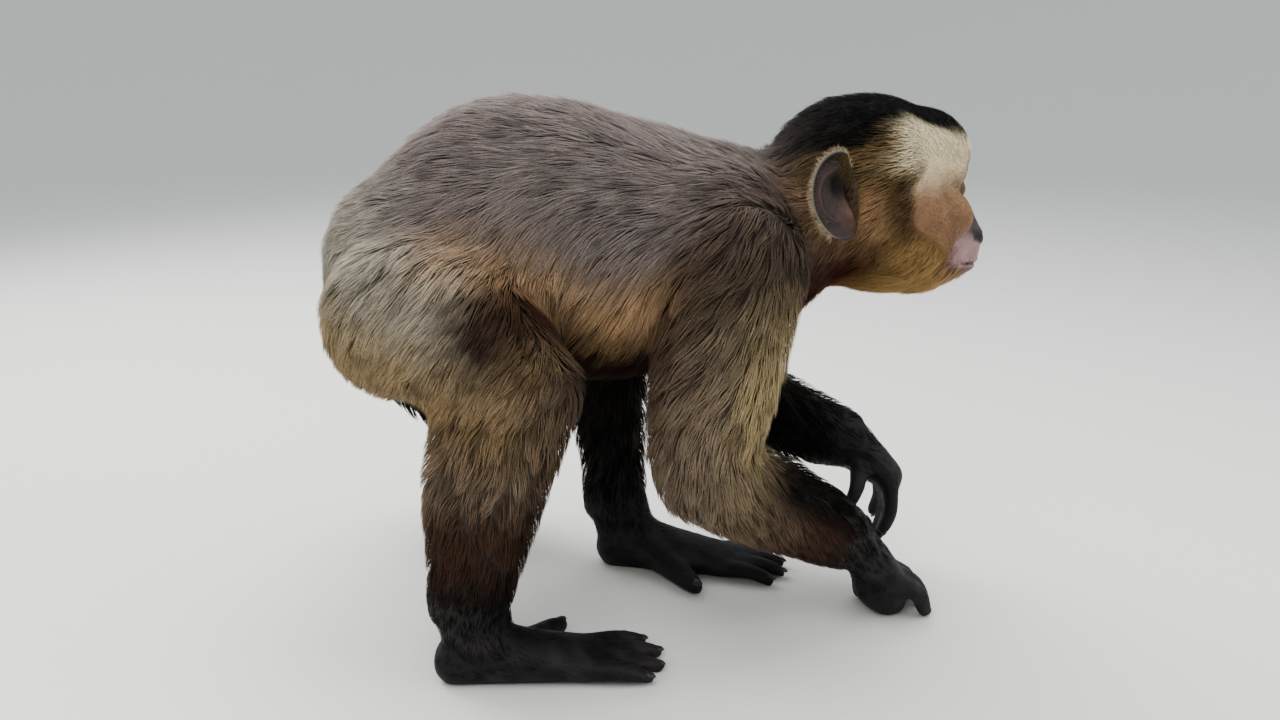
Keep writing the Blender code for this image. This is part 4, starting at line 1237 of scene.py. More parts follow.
# ---------------- how hair grows
@dataclass
class Growth:
    """Length, depth, lie and width of the coat at any point of the animal."""

    anatomy: Anatomy
    markings: Markings

    def mixed(self, points: Array, name: str) -> Array:
        """One number of the Hair table blended over the parts, in metres."""
        shares = self.anatomy.shares(points)
        return sum(shares[part] * getattr(HAIR[part], name) for part in Part) * MM

    def naked(self, points: Array) -> Array:
        """1 on the bare face."""
        return self.markings.bare(points) * smooth(0.3, 0.6, self.head_share(points))

    def down(self, points: Array) -> Array:
        """Share of the bare face's skin that carries no fine hair: most round the muzzle."""
        ahead, left, up = self.anatomy.to_head(points)
        away = np.sqrt((left / 34) ** 2 + ((up + 8) / 26) ** 2 + ((ahead - 50) / 42) ** 2)
        return self.naked(points) * (0.98 * smooth(1.30, 0.85, away))

    def face_share(self, points: Array) -> Array:
        """Grows from 0 at the back of the head to 1 on the brow and muzzle."""
        ahead, _, up = self.anatomy.to_head(points)
        return smooth(-18, 14, ahead) * smooth(-38, -20, up)

    def depths(self, points: Array) -> Array:
        """How far the coat's outline stands off the skin."""
        depth = self.mixed(points, "depth")
        depth = depth * (1.0 - 0.55 * self.face_share(points) * self.head_share(points))
        depth = depth * (1.0 - self.naked(points))
        fold = self.markings.folds(points, self.anatomy.shares(points))
        wrist = self.paw_nearness(points)
        return np.maximum(depth * (1.0 - 0.75 * wrist) * (1.0 - 0.35 * fold), 0.0)

    def head_share(self, points: Array) -> Array:
        """How far a point belongs to the head."""
        return self.anatomy.shares(points)[Part.HEAD]

    def paw_nearness(self, points: Array) -> Array:
        """Grows to 1 where a wrist or an ankle passes into hand or foot."""
        arm = self.anatomy.along_part(Part.FOREARM, points)
        leg = self.anatomy.along_part(Part.SHANK, points)
        shares = self.anatomy.shares(points)
        return (shares[Part.FOREARM] * smooth(0.72, 1.0, arm)
                + shares[Part.SHANK] * smooth(0.80, 1.0, leg)
                + shares[Part.HAND] + shares[Part.FOOT])

    def lengths(self, points: Array) -> Array:
        """Hair length, shorter on brow and temple and longer in beard and cap."""
        ahead, _, up = self.anatomy.to_head(points)
        head = self.head_share(points)
        length = self.mixed(points, "length")
        on_head = 1.0 - 0.62 * self.face_share(points)
        on_head = on_head + 0.35 * smooth(-24, -40, up)
        length = length * (1.0 - head + head * on_head) * (1.0 - 0.55 * self.naked(points))
        return length * (1.0 - 0.55 * self.paw_nearness(points)
                         * smooth(7.0 * MM, 12.0 * MM, length))

    def lies(self, points: Array, normals: Array) -> Array:
        """The direction in which hair lies at each point, along the surface."""
        weights, _ = self.anatomy.weights(points)
        shares = self.anatomy.shares(points)
        total = np.zeros_like(points)
        for i, bone in enumerate(self.anatomy.bones):
            hair = HAIR[bone.part]
            course = unit(np.array(bone.end) - np.array(bone.start))
            total += weights[:, i:i + 1] * (np.array(hair.lie) + course * hair.follow)
        total = total + self.trunk_lie(points) * shares[Part.TRUNK][:, None]
        head = shares[Part.HEAD][:, None]
        total = total * (1.0 - head) + self.head_lie(points) * head
        flat = total - normals * dot(total, normals)
        weak = np.linalg.norm(flat, axis=1, keepdims=True) < 0.15
        spare = np.array((-0.3, 0.0, -1.0)) - normals * (normals @ np.array((-0.3, 0.0, -1.0))
                                                         )[:, None]
        flat = unit(np.where(weak, flat + 0.5 * spare, flat))
        swirl = 0.16 * ripple(points, 0.035, 11)[:, None]
        return unit(flat + np.cross(normals, flat) * swirl)

    def trunk_lie(self, points: Array) -> Array:
        """Extra lie of the trunk: the flanks' hair hangs, the back's follows the spine."""
        height = self.markings.spine_height(points)
        hang = smooth(0.75, -0.35, height) * 0.95 - 0.30 * smooth(-0.55, -0.95, height)
        return np.stack((0.45 * hang, 0.0 * hang, 0.30 - 0.85 * hang), axis=1)

    def head_lie(self, points: Array) -> Array:
        """Cap swept back, brow brushed up, cheeks and beard brushed back and down."""
        ahead, left, up = self.anatomy.to_head(points)
        side = np.clip(left / 30.0, -1, 1)
        still = 0.0 * up
        back = np.stack((still - 1.0, still, still - 0.35), axis=1)
        brow = np.stack((still - 0.35, 0.55 * side, still + 0.85), axis=1)
        jaw = np.stack((still - 0.65, 0.15 * side, still - 0.75), axis=1)
        on_brow = (smooth(4, 14, ahead) * smooth(8, 16, up))[:, None]
        on_jaw = smooth(2, -14, up)[:, None]
        mixed = back * (1 - on_jaw) + jaw * on_jaw
        mixed = mixed * (1 - on_brow) + brow * on_brow
        return unit(mixed) @ self.anatomy.head_axes.T


# ---------------- coat
@dataclass(frozen=True)
class Plan:
    """A coat piece's name, how many tufts it has, and the finish it stands for."""

    name: str
    tufts: int
    slot: str = "fur_brown"


class Coat(Enum):
    """The coat's pieces, each well under the size limit of one mesh."""

    CROWN = Plan("coat_crown", 12500, "fur_black")
    CHEEKS = Plan("coat_cheeks", 16500)
    NECK = Plan("coat_neck", 9000)
    BACK_RIGHT = Plan("coat_back_right", 17500)
    BACK_LEFT = Plan("coat_back_left", 11500)
    FLANK_RIGHT = Plan("coat_flank_right", 12500)
    FLANK_LEFT = Plan("coat_flank_left", 8500)
    ARM_RIGHT = Plan("coat_arm_right", 13500, "fur_tan")
    ARM_LEFT = Plan("coat_arm_left", 8500, "fur_tan")
    THIGH_RIGHT = Plan("coat_thigh_right", 13000, "fur_tan")
    THIGH_LEFT = Plan("coat_thigh_left", 8000, "fur_tan")
    SHANK_RIGHT = Plan("coat_shank_right", 7500)
    SHANK_LEFT = Plan("coat_shank_left", 5000)
    TAIL = Plan("coat_tail", 6000, "fur_black")
    EARS = Plan("coat_ears", 2000)


@dataclass
class Barber:
    """Grows every tuft from the skin and sorts them into the coat's pieces."""

    anatomy: Anatomy
    markings: Markings
    skin: Object
    patch: float = 0.003            # width of a tuft's place on the bake map
    stations: tuple[float, ...] = (0.0, 0.34, 0.70, 1.0)     # along each tuft
    girth: tuple[float, ...] = (0.80, 1.0, 0.64)             # its width there, to the last ring
    rise: tuple[float, ...] = (-0.10, 0.42, 0.82, 1.0)       # its height in the coat
    clump: tuple[float, ...] = (0.0, 0.18, 0.45, 0.75)       # how far it leans to its lock
    flatness: float = 0.55
    tufts_to_a_lock: int = 26
    softness: float = 0.68          # how far a tuft is shaded like the body under it

    def __post_init__(self) -> None:
        """Prepares the skin's surface for sowing and for finding the nearest place."""
        self.rng = np.random.default_rng(17)
        self.growth = Growth(self.anatomy, self.markings)
        mesh = self.skin.data
        mesh.calc_loop_triangles()
        corners = np.empty(len(mesh.loop_triangles) * 3, np.int32)
        mesh.loop_triangles.foreach_get("vertices", corners)
        self.faces = corners.reshape(-1, 3)
        self.points = points_of(self.skin)
        self.normals = normals_of(self.skin)
        self.tree = BVHTree.FromPolygons(self.points.tolist(), self.faces.tolist())

    def piece_of(self, points: Array) -> Array:
        """The coat piece that each place of the animal's frame belongs to, by number."""
        shares = self.anatomy.shares(points)
        part = np.argmax(np.stack([shares[p] for p in Part], axis=1), axis=1)
        order = list(Coat)
        left = points[:, 1] > 0.0
        height = self.markings.spine_height(points)
        ahead, _, up = self.anatomy.to_head(points)
        crown = up > 0.55 * np.minimum(ahead, 0.0) + 14.0
        chosen = np.full(len(points), order.index(Coat.NECK))

        def assign(where: Array, right: Coat, other: Coat) -> None:
            """Gives places to one of two pieces by side."""
            chosen[where & ~left] = order.index(right)
            chosen[where & left] = order.index(other)

        assign((part == Part.HEAD.value) & crown, Coat.CROWN, Coat.CROWN)
        assign((part == Part.HEAD.value) & ~crown, Coat.CHEEKS, Coat.CHEEKS)
        assign((part == Part.TRUNK.value) & (height > 0.1), Coat.BACK_RIGHT, Coat.BACK_LEFT)
        assign((part == Part.TRUNK.value) & (height <= 0.1), Coat.FLANK_RIGHT, Coat.FLANK_LEFT)
        arm = (part >= Part.UPPER_ARM.value) & (part <= Part.HAND.value)
        assign(arm, Coat.ARM_RIGHT, Coat.ARM_LEFT)
        assign(part == Part.THIGH.value, Coat.THIGH_RIGHT, Coat.THIGH_LEFT)
        shank = (part == Part.SHANK.value) | (part == Part.FOOT.value)
        assign(shank, Coat.SHANK_RIGHT, Coat.SHANK_LEFT)
        assign(part == Part.TAIL.value, Coat.TAIL, Coat.TAIL)
        return chosen

    def sown(self) -> tuple[Array, Array, Array]:
        """Scatters roots over the furred skin, as many in each piece as its plan says.

        Returns:
            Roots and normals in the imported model's frame, and each root's piece number.
        """
        a, b, c = (self.points[self.faces[:, i]] for i in range(3))
        middle = self.anatomy.local((a + b + c) / 3)
        area = 0.5 * np.linalg.norm(np.cross(b - a, c - a), axis=1)
        shares = self.anatomy.shares(middle)
        paw = shares[Part.HAND] + shares[Part.FOOT]
        face = self.growth.face_share(middle) * shares[Part.HEAD]
        density = area * (1.0 - self.growth.down(middle)) * (1.0 - 0.60 * paw) * (1.0 + face)
        sole = (middle[:, 2] < 0.005) & (paw > 0.4)
        density = np.where(sole, 0.0, density)
        piece = self.piece_of(middle)
        roots, normals, pieces = [], [], []
        for number, coat in enumerate(Coat):
            share = np.cumsum(np.where(piece == number, density, 0.0))
            if share[-1] <= 0.0:
                continue
            count = coat.value.tufts
            draws = (np.arange(count) + self.rng.random(count)) / count * share[-1]
            face = np.minimum(np.searchsorted(share, draws), len(share) - 1)
            u, v = self.rng.random(count), self.rng.random(count)
            flip = u + v > 1.0
            u, v = np.where(flip, 1 - u, u), np.where(flip, 1 - v, v)
            mix = np.stack((1 - u - v, u, v), axis=1)[:, :, None]
            roots.append(np.sum(self.points[self.faces[face]] * mix, axis=1))
            normals.append(unit(np.sum(self.normals[self.faces[face]] * mix, axis=1)))
            pieces.append(np.full(count, number))
        return np.concatenate(roots), np.concatenate(normals), np.concatenate(pieces)

    def nearest(self, points: Array) -> tuple[Array, Array]:
        """The closest place on the skin to each point, and the skin's normal there."""
        found = [self.tree.find_nearest(point) for point in points.tolist()]
        places = np.array([hit[0] for hit in found])
        normals = np.array([hit[1] for hit in found])
        return places, normals

    def strands(self, roots: Array, normals: Array) -> tuple[Array, Array]:
        """Lays each tuft along the body, station by station.

        Args:
            roots: places on the skin.
            normals: the skin's normals there.

        Returns:
            The tufts' stations (tuft, station, xyz) and the normals there.
        """
        count = len(roots)
        local = self.anatomy.local(roots)
        length = self.growth.lengths(local) * self.rng.uniform(0.72, 1.12, count)
        vigour = self.rng.uniform(0.62, 1.0, count)
        lean = self.rng.normal(0.0, 0.13, count)[:, None]
        places = [roots - normals * 0.0004]
        ups = [normals]
        place, up = roots, normals
        for before, after, rise in zip(self.stations, self.stations[1:], self.rise[1:]):
            here = self.anatomy.local(place)
            lie = self.growth.lies(here, up)
            lie = unit(lie + np.cross(up, lie) * lean)
            step = ((after - before) * length)[:, None]
            aim = place + lie * step
            under, tilt = self.nearest(aim)
            depth = self.growth.depths(self.anatomy.local(under)) + 0.0004
            height = (depth * rise * vigour)[:, None]
            gap = np.linalg.norm(aim - under, axis=1, keepdims=True)
            outside = dot(aim - under, tilt) > 0.0
            height = np.where(outside & (gap > height), 0.75 * height + 0.25 * gap, height)
            place = under + tilt * height
            stretch = place - places[-1]
            place = places[-1] + unit(stretch) * np.minimum(
                np.linalg.norm(stretch, axis=1, keepdims=True), 1.15 * step)
            place[:, 2] = np.maximum(place[:, 2], 0.0006)
            places.append(place)
            up = tilt
            ups.append(tilt)
        return np.stack(places, axis=1), np.stack(ups, axis=1)

    def gathered(self, strands: Array) -> tuple[Array, Array]:
        """Leans the tufts towards one in every lock, so that the coat breaks into locks.

        Returns:
            The leaning stations, and each tuft's lock number.
        """
        roots = strands[:, 0]
        leaders = np.flatnonzero(self.rng.random(len(roots)) < 1.0 / self.tufts_to_a_lock)
        tree = KDTree(len(leaders))
        for number, leader in enumerate(leaders):
            tree.insert(roots[leader], number)
        tree.balance()
        lock = np.array([tree.find(root)[1] for root in roots.tolist()])
        leader = leaders[lock]
        away = np.linalg.norm(roots[leader] - roots, axis=1)
        pull = smooth(0.016, 0.005, away) * self.rng.uniform(0.40, 0.90, len(leaders))[lock]
        local = self.anatomy.local(roots)
        head = self.growth.head_share(local)
        pull = pull * (1.0 - 0.45 * head) * (1.0 - 0.65 * self.growth.face_share(local) * head)
        across = strands[leader] - strands
        shift = across * (np.array(self.clump)[None, :, None] * pull[:, None, None])
        return strands + shift, lock

    def shades(self, strands: Array, lock: Array) -> Array:
        """The colour at each station: markings, darker roots, streaks by lock and by tuft."""
        count = len(strands)
        base = self.markings.colours(self.anatomy.local(strands[:, 0]))
        at_tip = self.markings.colours(self.anatomy.local(strands[:, 2]))
        base = 0.45 * base + 0.55 * at_tip
        locks = lock.max() + 1
        soft = 1.0 - 0.6 * self.growth.head_share(self.anatomy.local(strands[:, 0]))
        dark = np.where(self.rng.random(locks) < 0.18, self.rng.uniform(0.56, 0.84, locks), 1.0)
        light = self.rng.uniform(0.90, 1.10, locks) * dark
        own = self.rng.uniform(0.86, 1.14, count)
        streak = np.where(self.rng.random(count) < 0.10, 0.66, 1.0)
        bright = np.where(self.rng.random(count) < 0.06, 1.30, 1.0)
        level = (1.0 + (light[lock] - 1.0) * soft) * own * streak * bright
        warmth = self.rng.normal(0.0, 0.03, count)
        tint = np.stack((1 + warmth, np.ones(count), 1 - warmth), axis=1)
        fade = np.array((0.55, 0.86, 1.04, 1.14))
        return np.clip(base[:, None] * tint[:, None] * (level[:, None] * fade)[:, :, None],
                       0.0, 0.95)

    def unwrap(self, roots: Array) -> Array:
        """Each root's place on an unwrap of the skin: every bone's sleeve laid flat.

        Args:
            roots: places in the animal's frame.

        Returns:
            Map coordinates from 0 to 1; the sleeves stand in a grid of cells.
        """
        weights, along = self.anatomy.weights(roots)
        owner = np.argmax(weights, axis=1)
        columns = math.ceil(math.sqrt(len(self.anatomy.bones)))
        out = np.empty((len(roots), 2))
        for number, bone in enumerate(self.anatomy.bones):
            here = owner == number
            start, end = np.array(bone.start), np.array(bone.end)
            course = unit(end - start)
            side = unit(np.cross(course, (0.31, 0.77, 0.55)))
            third = np.cross(course, side)
            away = roots[here] - start
            angle = np.arctan2(away @ third, away @ side) / (2 * math.pi) + 0.5
            reach = bone.radii[0] + bone.radii[1]
            span = np.linalg.norm(end - start)
            share = np.clip((away @ course + reach / 2) / (span + reach), 0.0, 1.0)
            cell = np.array((number % columns, number // columns))
            place = np.stack((angle, share), axis=1) * 0.94 + 0.03
            out[here] = (cell + place) / columns
        return out

    def build(self, ears: list[Ear]) -> list[Object]:
        """Grows the whole coat, and the fringe of the ears."""
        roots, normals, pieces = self.sown()
        strands, ups = self.strands(roots, normals)
        strands, lock = self.gathered(strands)
        colours = self.shades(strands, lock)
        local = self.anatomy.local(roots)
        width = self.growth.mixed(local, "width") * self.rng.uniform(0.75, 1.2, len(roots))
        face = self.growth.face_share(local) * self.growth.head_share(local)
        width = width * (1.0 - 0.30 * face)
        grown = [(strands, ups, width, colours)]
        for ear in ears:
            grown.append(ear.hairs(self.rng, Coat.EARS.value.tufts // 2))
            pieces = np.append(pieces, np.full(len(grown[-1][0]), list(Coat).index(Coat.EARS)))
        strands, ups, width, colours = (np.concatenate(rows) for rows in zip(*grown))
        place = self.unwrap(self.anatomy.local(strands[:, 0]))
        material = FurFinish().made()
        made = []
        for number, coat in enumerate(Coat):
            here = pieces == number
            pick = [self.knots(rows[here]) for rows in (strands, ups, colours)]
            obj = self.meshed(coat.value.name, pick[0], pick[1], width[here], pick[2], place[here])
            obj.data.materials.append(material)
            attach(obj, coat.value.slot)
            made.append(obj)
        return made

    def knots(self, rows: Array) -> Array:
        """The root, the middle and the tip on which a tuft is built."""
        return np.stack((rows[:, 0], 0.45 * rows[:, 1] + 0.55 * rows[:, 2], rows[:, 3]), axis=1)

    def meshed(self, name: str, strands: Array, ups: Array, width: Array, colours: Array,
               place: Array) -> Object:
        """Makes one coat piece: each tuft a closed, three-sided, tapering blade.

        Args:
            name: the piece's name.
            strands: stations (tuft, station, xyz).
            ups: directions away from the skin at the stations.
            width: each tuft's width.
            colours: colour at each station.
            place: each tuft's place on the bake map.

        Returns:
            The finished object.
        """
        count, rings = len(strands), strands.shape[1] - 1
        course = np.empty_like(strands)
        course[:, 1:-1] = strands[:, 2:] - strands[:, :-2]
        course[:, 0] = strands[:, 1] - strands[:, 0]
        course[:, -1] = strands[:, -1] - strands[:, -2]
        course = unit(course)
        across = unit(np.cross(course, ups))
        crest = np.cross(across, course)
        angles = np.radians((90.0, 330.0, 210.0))      # round the course, faces outwards
        each = 3 * rings + 1
        points = np.empty((count, each, 3))
        shade = np.empty((count, each, 3))
        facing = np.empty((count, each, 3))
        for ring in range(rings):
            half = (0.5 * width * self.girth[ring])[:, None]
            for k, angle in enumerate(angles):
                spot = ring * 3 + k
                bend = (across[:, ring] * math.cos(angle)
                        + crest[:, ring] * self.flatness * math.sin(angle))
                points[:, spot] = strands[:, ring] + bend * half
                facing[:, spot] = (self.softness * ups[:, ring]
                                   + (1.0 - self.softness) * unit(bend))
                shade[:, spot] = colours[:, ring]
        points[:, -1], shade[:, -1] = strands[:, -1], colours[:, -1]
        facing[:, -1] = ups[:, -1]
        quads = [(r * 3 + k, r * 3 + (k + 1) % 3, r * 3 + 3 + (k + 1) % 3, r * 3 + 3 + k)
                 for r in range(rings - 1) for k in range(3)]
        last = 3 * (rings - 1)
        tips = [(last + k, last + (k + 1) % 3, each - 1) for k in range(3)]
        faces = quads + tips + [(2, 1, 0)]
        corners = np.array([corner for face in faces for corner in face])
        sizes = np.array([len(face) for face in faces])
        obj = self.mesh_object(name, points, shade, corners, sizes, place)
        obj.data.normals_split_custom_set_from_vertices(
            unit(facing).reshape(-1, 3).astype(np.float32))
        return obj

    def mesh_object(self, name: str, points: Array, shade: Array, corners: Array, sizes: Array,
                    place: Array) -> Object:
        """Writes the tufts of one piece into a mesh with its colours and bake map."""
        count, each = points.shape[:2]
        mesh = bpy.data.meshes.new(name)
        loops = (corners[None] + each * np.arange(count)[:, None]).ravel()
        totals = np.tile(sizes, count)
        mesh.vertices.add(count * each)
        mesh.vertices.foreach_set("co", points.astype(np.float32).ravel())
        mesh.loops.add(len(loops))
        mesh.loops.foreach_set("vertex_index", loops.astype(np.int32))
        mesh.polygons.add(len(totals))
        starts = np.concatenate(([0], np.cumsum(totals)[:-1]))
        mesh.polygons.foreach_set("loop_start", starts.astype(np.int32))
        mesh.update(calc_edges=True)
        mesh.validate()
        paint(mesh, shade.reshape(-1, 3))
        uv = mesh.uv_layers.new(name="OFBake")
        spot = np.stack((np.where(corners == each - 1, 0.5, (corners % 3) / 2.0),
                         (corners // 3) / (each // 3)), axis=1) - 0.5
        rows = place[:, None] + spot[None] * self.patch
        uv.data.foreach_set("uv", rows.astype(np.float32).ravel())
        mesh.shade_smooth()
        return in_scene(mesh)


# ---------------- eyes
@dataclass(frozen=True)
class EyeFinish:
    """Wet brown eye: a black pupil, a dark amber iris and a brown white."""

    name: str
    centre: Triple
    gaze: Triple

    def made(self) -> Material:
        """Builds the material; the rings run round the direction of gaze."""
        shading = Shading(self.name, Roughness=0.10, Specular_IOR_Level=0.20, Coat_Weight=0.75,
                          Coat_Roughness=0.03)
        place = shading.node("TexCoord")
        away = shading.node("VectorMath", {1: self.centre}, operation="SUBTRACT")
        course = shading.node("VectorMath", operation="NORMALIZE")
        aim = shading.node("VectorMath", {1: self.gaze}, operation="DOT_PRODUCT")
        rings = shading.node("ValToRGB")
        bands = ((0.0, (0.060, 0.032, 0.022)), (0.720, (0.045, 0.022, 0.014)),
                 (0.760, (0.008, 0.005, 0.004)), (0.800, (0.055, 0.022, 0.008)),
                 (0.900, (0.095, 0.040, 0.013)), (0.935, (0.030, 0.012, 0.005)),
                 (0.945, (0.001, 0.001, 0.001)))
        elements = rings.color_ramp.elements
        while len(elements) < len(bands):
            elements.new(0.5)
        for element, (spot, colour) in zip(elements, bands):
            element.position = spot
            element.color = (*colour, 1.0)
        shading.chain((place, "Object", away, 0), (away, "Vector", course, 0),
                      (course, "Vector", aim, 0), (aim, "Value", rings, "Fac"),
                      (rings, "Color", shading.shader, "Base Color"))
        return shading.material


@dataclass
class Eye:
    """One eyeball with a bulging cornea, and the opening between its lids."""

    anatomy: Anatomy
    side: Side
    radius: float = 0.0083
    cornea: float = 0.0006          # how far the cornea stands out
    toe_out: float = math.radians(12.0)
    opening: tuple[float, float] = (math.radians(47.0), math.radians(33.0))
    lid: float = 0.0008             # thickness of the lids
    slot: str = "eye"

    @property
    def centre(self) -> Array:
        """The eyeball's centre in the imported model's frame."""
        return self.anatomy.placed(self.anatomy.from_head(
            np.array([self.anatomy.eye_of(self.side)])))[0]

    @property
    def axes(self) -> Array:
        """Gaze, outwards and up of the eye, as columns."""
        turn = self.side.value * self.toe_out
        gaze = np.array((math.cos(turn), math.sin(turn), 0.04))
        gaze = gaze / np.linalg.norm(gaze)
        up = np.array((0.0, 0.0, 1.0)) - gaze * gaze[2]
        up = up / np.linalg.norm(up)
        outwards = np.cross(up, gaze) * self.side.value
        return self.anatomy.head_axes @ np.stack((gaze, outwards, up), axis=1)

    def ball(self) -> Object:
        """The eyeball."""
        deselect_all()
        bpy.ops.mesh.primitive_uv_sphere_add(segments=48, ring_count=32, radius=self.radius,
                                             location=self.centre)
        eye = bpy.context.object
        eye.name = eye.data.name = f"eyeball_{self.side.word}"
        bpy.ops.object.transform_apply(location=True, rotation=True, scale=True)
        points = points_of(eye)
        away = points - self.centre
        share = smooth(0.82, 0.97, unit(away) @ self.axes[:, 0])
        set_points(eye, points + unit(away) * (self.cornea * share)[:, None])
        bpy.ops.object.shade_smooth()
        eye.data.materials.append(EyeFinish(f"eye_{self.side.word}", tuple(self.centre),
                                            tuple(self.axes[:, 0])).made())
        attach(eye, self.slot, f"eye_{self.side.word}")
        return eye

    def polar(self, points: Array) -> tuple[Array, Array, Array]:
        """Angle from the gaze, turn round it and distance of points from the eye's centre."""
        away = points - self.centre
        along, across, up = (unit(away) @ self.axes).T
        return (np.arccos(np.clip(along, -1.0, 1.0)), np.arctan2(up, across),
                np.linalg.norm(away, axis=1))

    def limit(self, turn: Array) -> Array:
        """The angle from the gaze at which the lids' edge stands, at each turn round it."""
        wide, tall = self.opening
        tall = np.where(np.sin(turn) > 0.0, 0.86 * tall, tall)
        return np.hypot(wide * np.cos(turn),
                        tall * np.sin(turn) * (1.0 - 0.28 * np.cos(turn) ** 2))

    def inside(self, points: Array) -> Array:
        """True where a point lies between the lids."""
        angle, turn, reach = self.polar(points)
        return (angle < self.limit(turn)) & (reach < 0.013)

    def edge(self, points: Array, height: float, narrower: float) -> Array:
        """Points brought to the lids' edge, at a height over the ball and an angle inside it."""
        _, turn, _ = self.polar(points)
        angle = self.limit(turn) - narrower
        way = np.stack((np.cos(angle), np.sin(angle) * np.cos(turn),
                        np.sin(angle) * np.sin(turn)), axis=1) @ self.axes.T
        return self.centre + way * (self.radius + height)


# ---------------- nails
@dataclass(frozen=True)
class Digit:
    """The last joint of a finger or toe, in the animal's frame."""

    start: Array
    tip: Array
    dorsal: Array
    radius: float


@dataclass
class Digits:
    """Finds the last joint of every digit, as the solids bend them."""

    anatomy: Anatomy
    fingers: tuple[float, ...] = (0.029, 0.034, 0.033, 0.027)
    toes: tuple[float, ...] = (0.031, 0.036, 0.035, 0.030)
    up: Triple = (0.0, 0.0, 1.0)

    def bent(self, root: Array, heading: Array, towards: Array, lengths: tuple[float, ...],
             bends: tuple[float, ...], radius: float) -> Digit:
        """Follows a digit whose joints each turn from heading towards a direction."""
        aim, start = unit(heading), root
        axis = Vector(unit(np.cross(aim, towards)))
        tip = root
        for length, bend in zip(lengths, bends):
            start = tip
            aim = np.array(Matrix.Rotation(math.radians(bend), 3, axis)) @ aim
            tip = start + aim * length
        return Digit(start, tip, np.cross(aim, np.array(axis)), radius)

    def palm(self, side: Side, along: tuple[float, ...], dorsal: tuple[float, ...]
             ) -> tuple[Array, Array, Array, Array]:
        """The palm's far end and the hand's axes."""
        along = unit(np.array(along))
        dorsal = np.array(dorsal)
        dorsal = unit(dorsal - along * (dorsal @ along))
        thumb = np.cross(along, dorsal) * side.value
        return self.anatomy.joint("wrist", side) + along * 0.036, along, dorsal, thumb

    def leaning(self) -> list[Digit]:
        """The right hand's fingers, a little arched over their tips."""
        end, along, _, thumb = self.palm(Side.RIGHT, (0.78, 0.42, -0.80), (0.60, 0.10, 0.80))
        up = np.array(self.up)
        ahead = unit(along * (1.0, 1.0, 0.0))
        made = []
        for i, length in enumerate(self.fingers):
            place = 1.5 - i
            fan = unit(ahead + thumb * place * 0.12)
            root = end + thumb * place * 0.0080 - ahead * (0.002 + 0.0012 * abs(place))
            knuckle = root + fan * (0.46 * length) - up * 0.0055
            tip = knuckle + fan * (0.50 * length)
            tip[2] = 0.0044
            bend = knuckle + (tip - knuckle) * 0.50 + fan * 0.0020 + up * 0.0030
            aim = unit(tip - bend)
            made.append(Digit(bend, tip, unit(fan - aim * (fan @ aim)), 0.0042))
        return made

    def hanging(self) -> list[Digit]:
        """The left hand's fingers and thumb in their easy curl."""
        end, along, dorsal, thumb = self.palm(Side.LEFT, (0.72, -0.03, -0.62), (0.66, 0.10, 0.72))
        bends = ((42, 22, 14), (40, 24, 16), (38, 24, 18), (38, 26, 20))
        made = []
        for i, length in enumerate(self.fingers):
            place = 1.5 - i
            root = end + thumb * place * 0.0080 - along * (0.003 + 0.0012 * abs(place))
            made.append(self.bent(root, along + thumb * place * 0.10, -dorsal,
                                  (0.006 + 0.44 * length, 0.32 * length, 0.24 * length),
                                  bends[i], 0.0038))
        wrist = self.anatomy.joint("wrist", Side.LEFT)
        root = wrist + along * 0.010 + thumb * 0.009 - dorsal * 0.003
        made.append(self.bent(root, along * 0.5 + thumb * 0.45 - dorsal * 0.7, -dorsal,
                              (0.012, 0.010, 0.008), (0, 12, 14), 0.0040))
        return made

    def foot(self, side: Side) -> list[Digit]:
        """One foot's toes."""
        heading = math.radians(7.0 if side is Side.RIGHT else -8.0)
        along = np.array((math.cos(heading), math.sin(heading), 0.0))
        outwards = np.array((-along[1], along[0], 0.0)) * side.value
        up, heel = np.array(self.up), self.anatomy.joint("heel", side)
        base = heel + along * (0.123 - 0.012 - max(self.toes))
        made = []
        for i, length in enumerate(self.toes):
            place = i - 1.5
            root = base + outwards * place * 0.0092 - along * (0.004 + 0.0018 * abs(place))
            root[2] = 0.0074
            made.append(self.bent(root, along + outwards * place * 0.10 + up * 0.09, -up,
                                  (0.006 + 0.42 * length, 0.33 * length, 0.25 * length),
                                  (0, 14, 10), 0.0040))
        root = heel + along * 0.028 - outwards * 0.003
        root[2] = 0.0100
        made.append(self.bent(root, along * 0.66 - outwards * 0.75 - up * 0.04, -up,
                              (0.0211, 0.0154, 0.0115), (0, 1, 5), 0.0052))
        return made


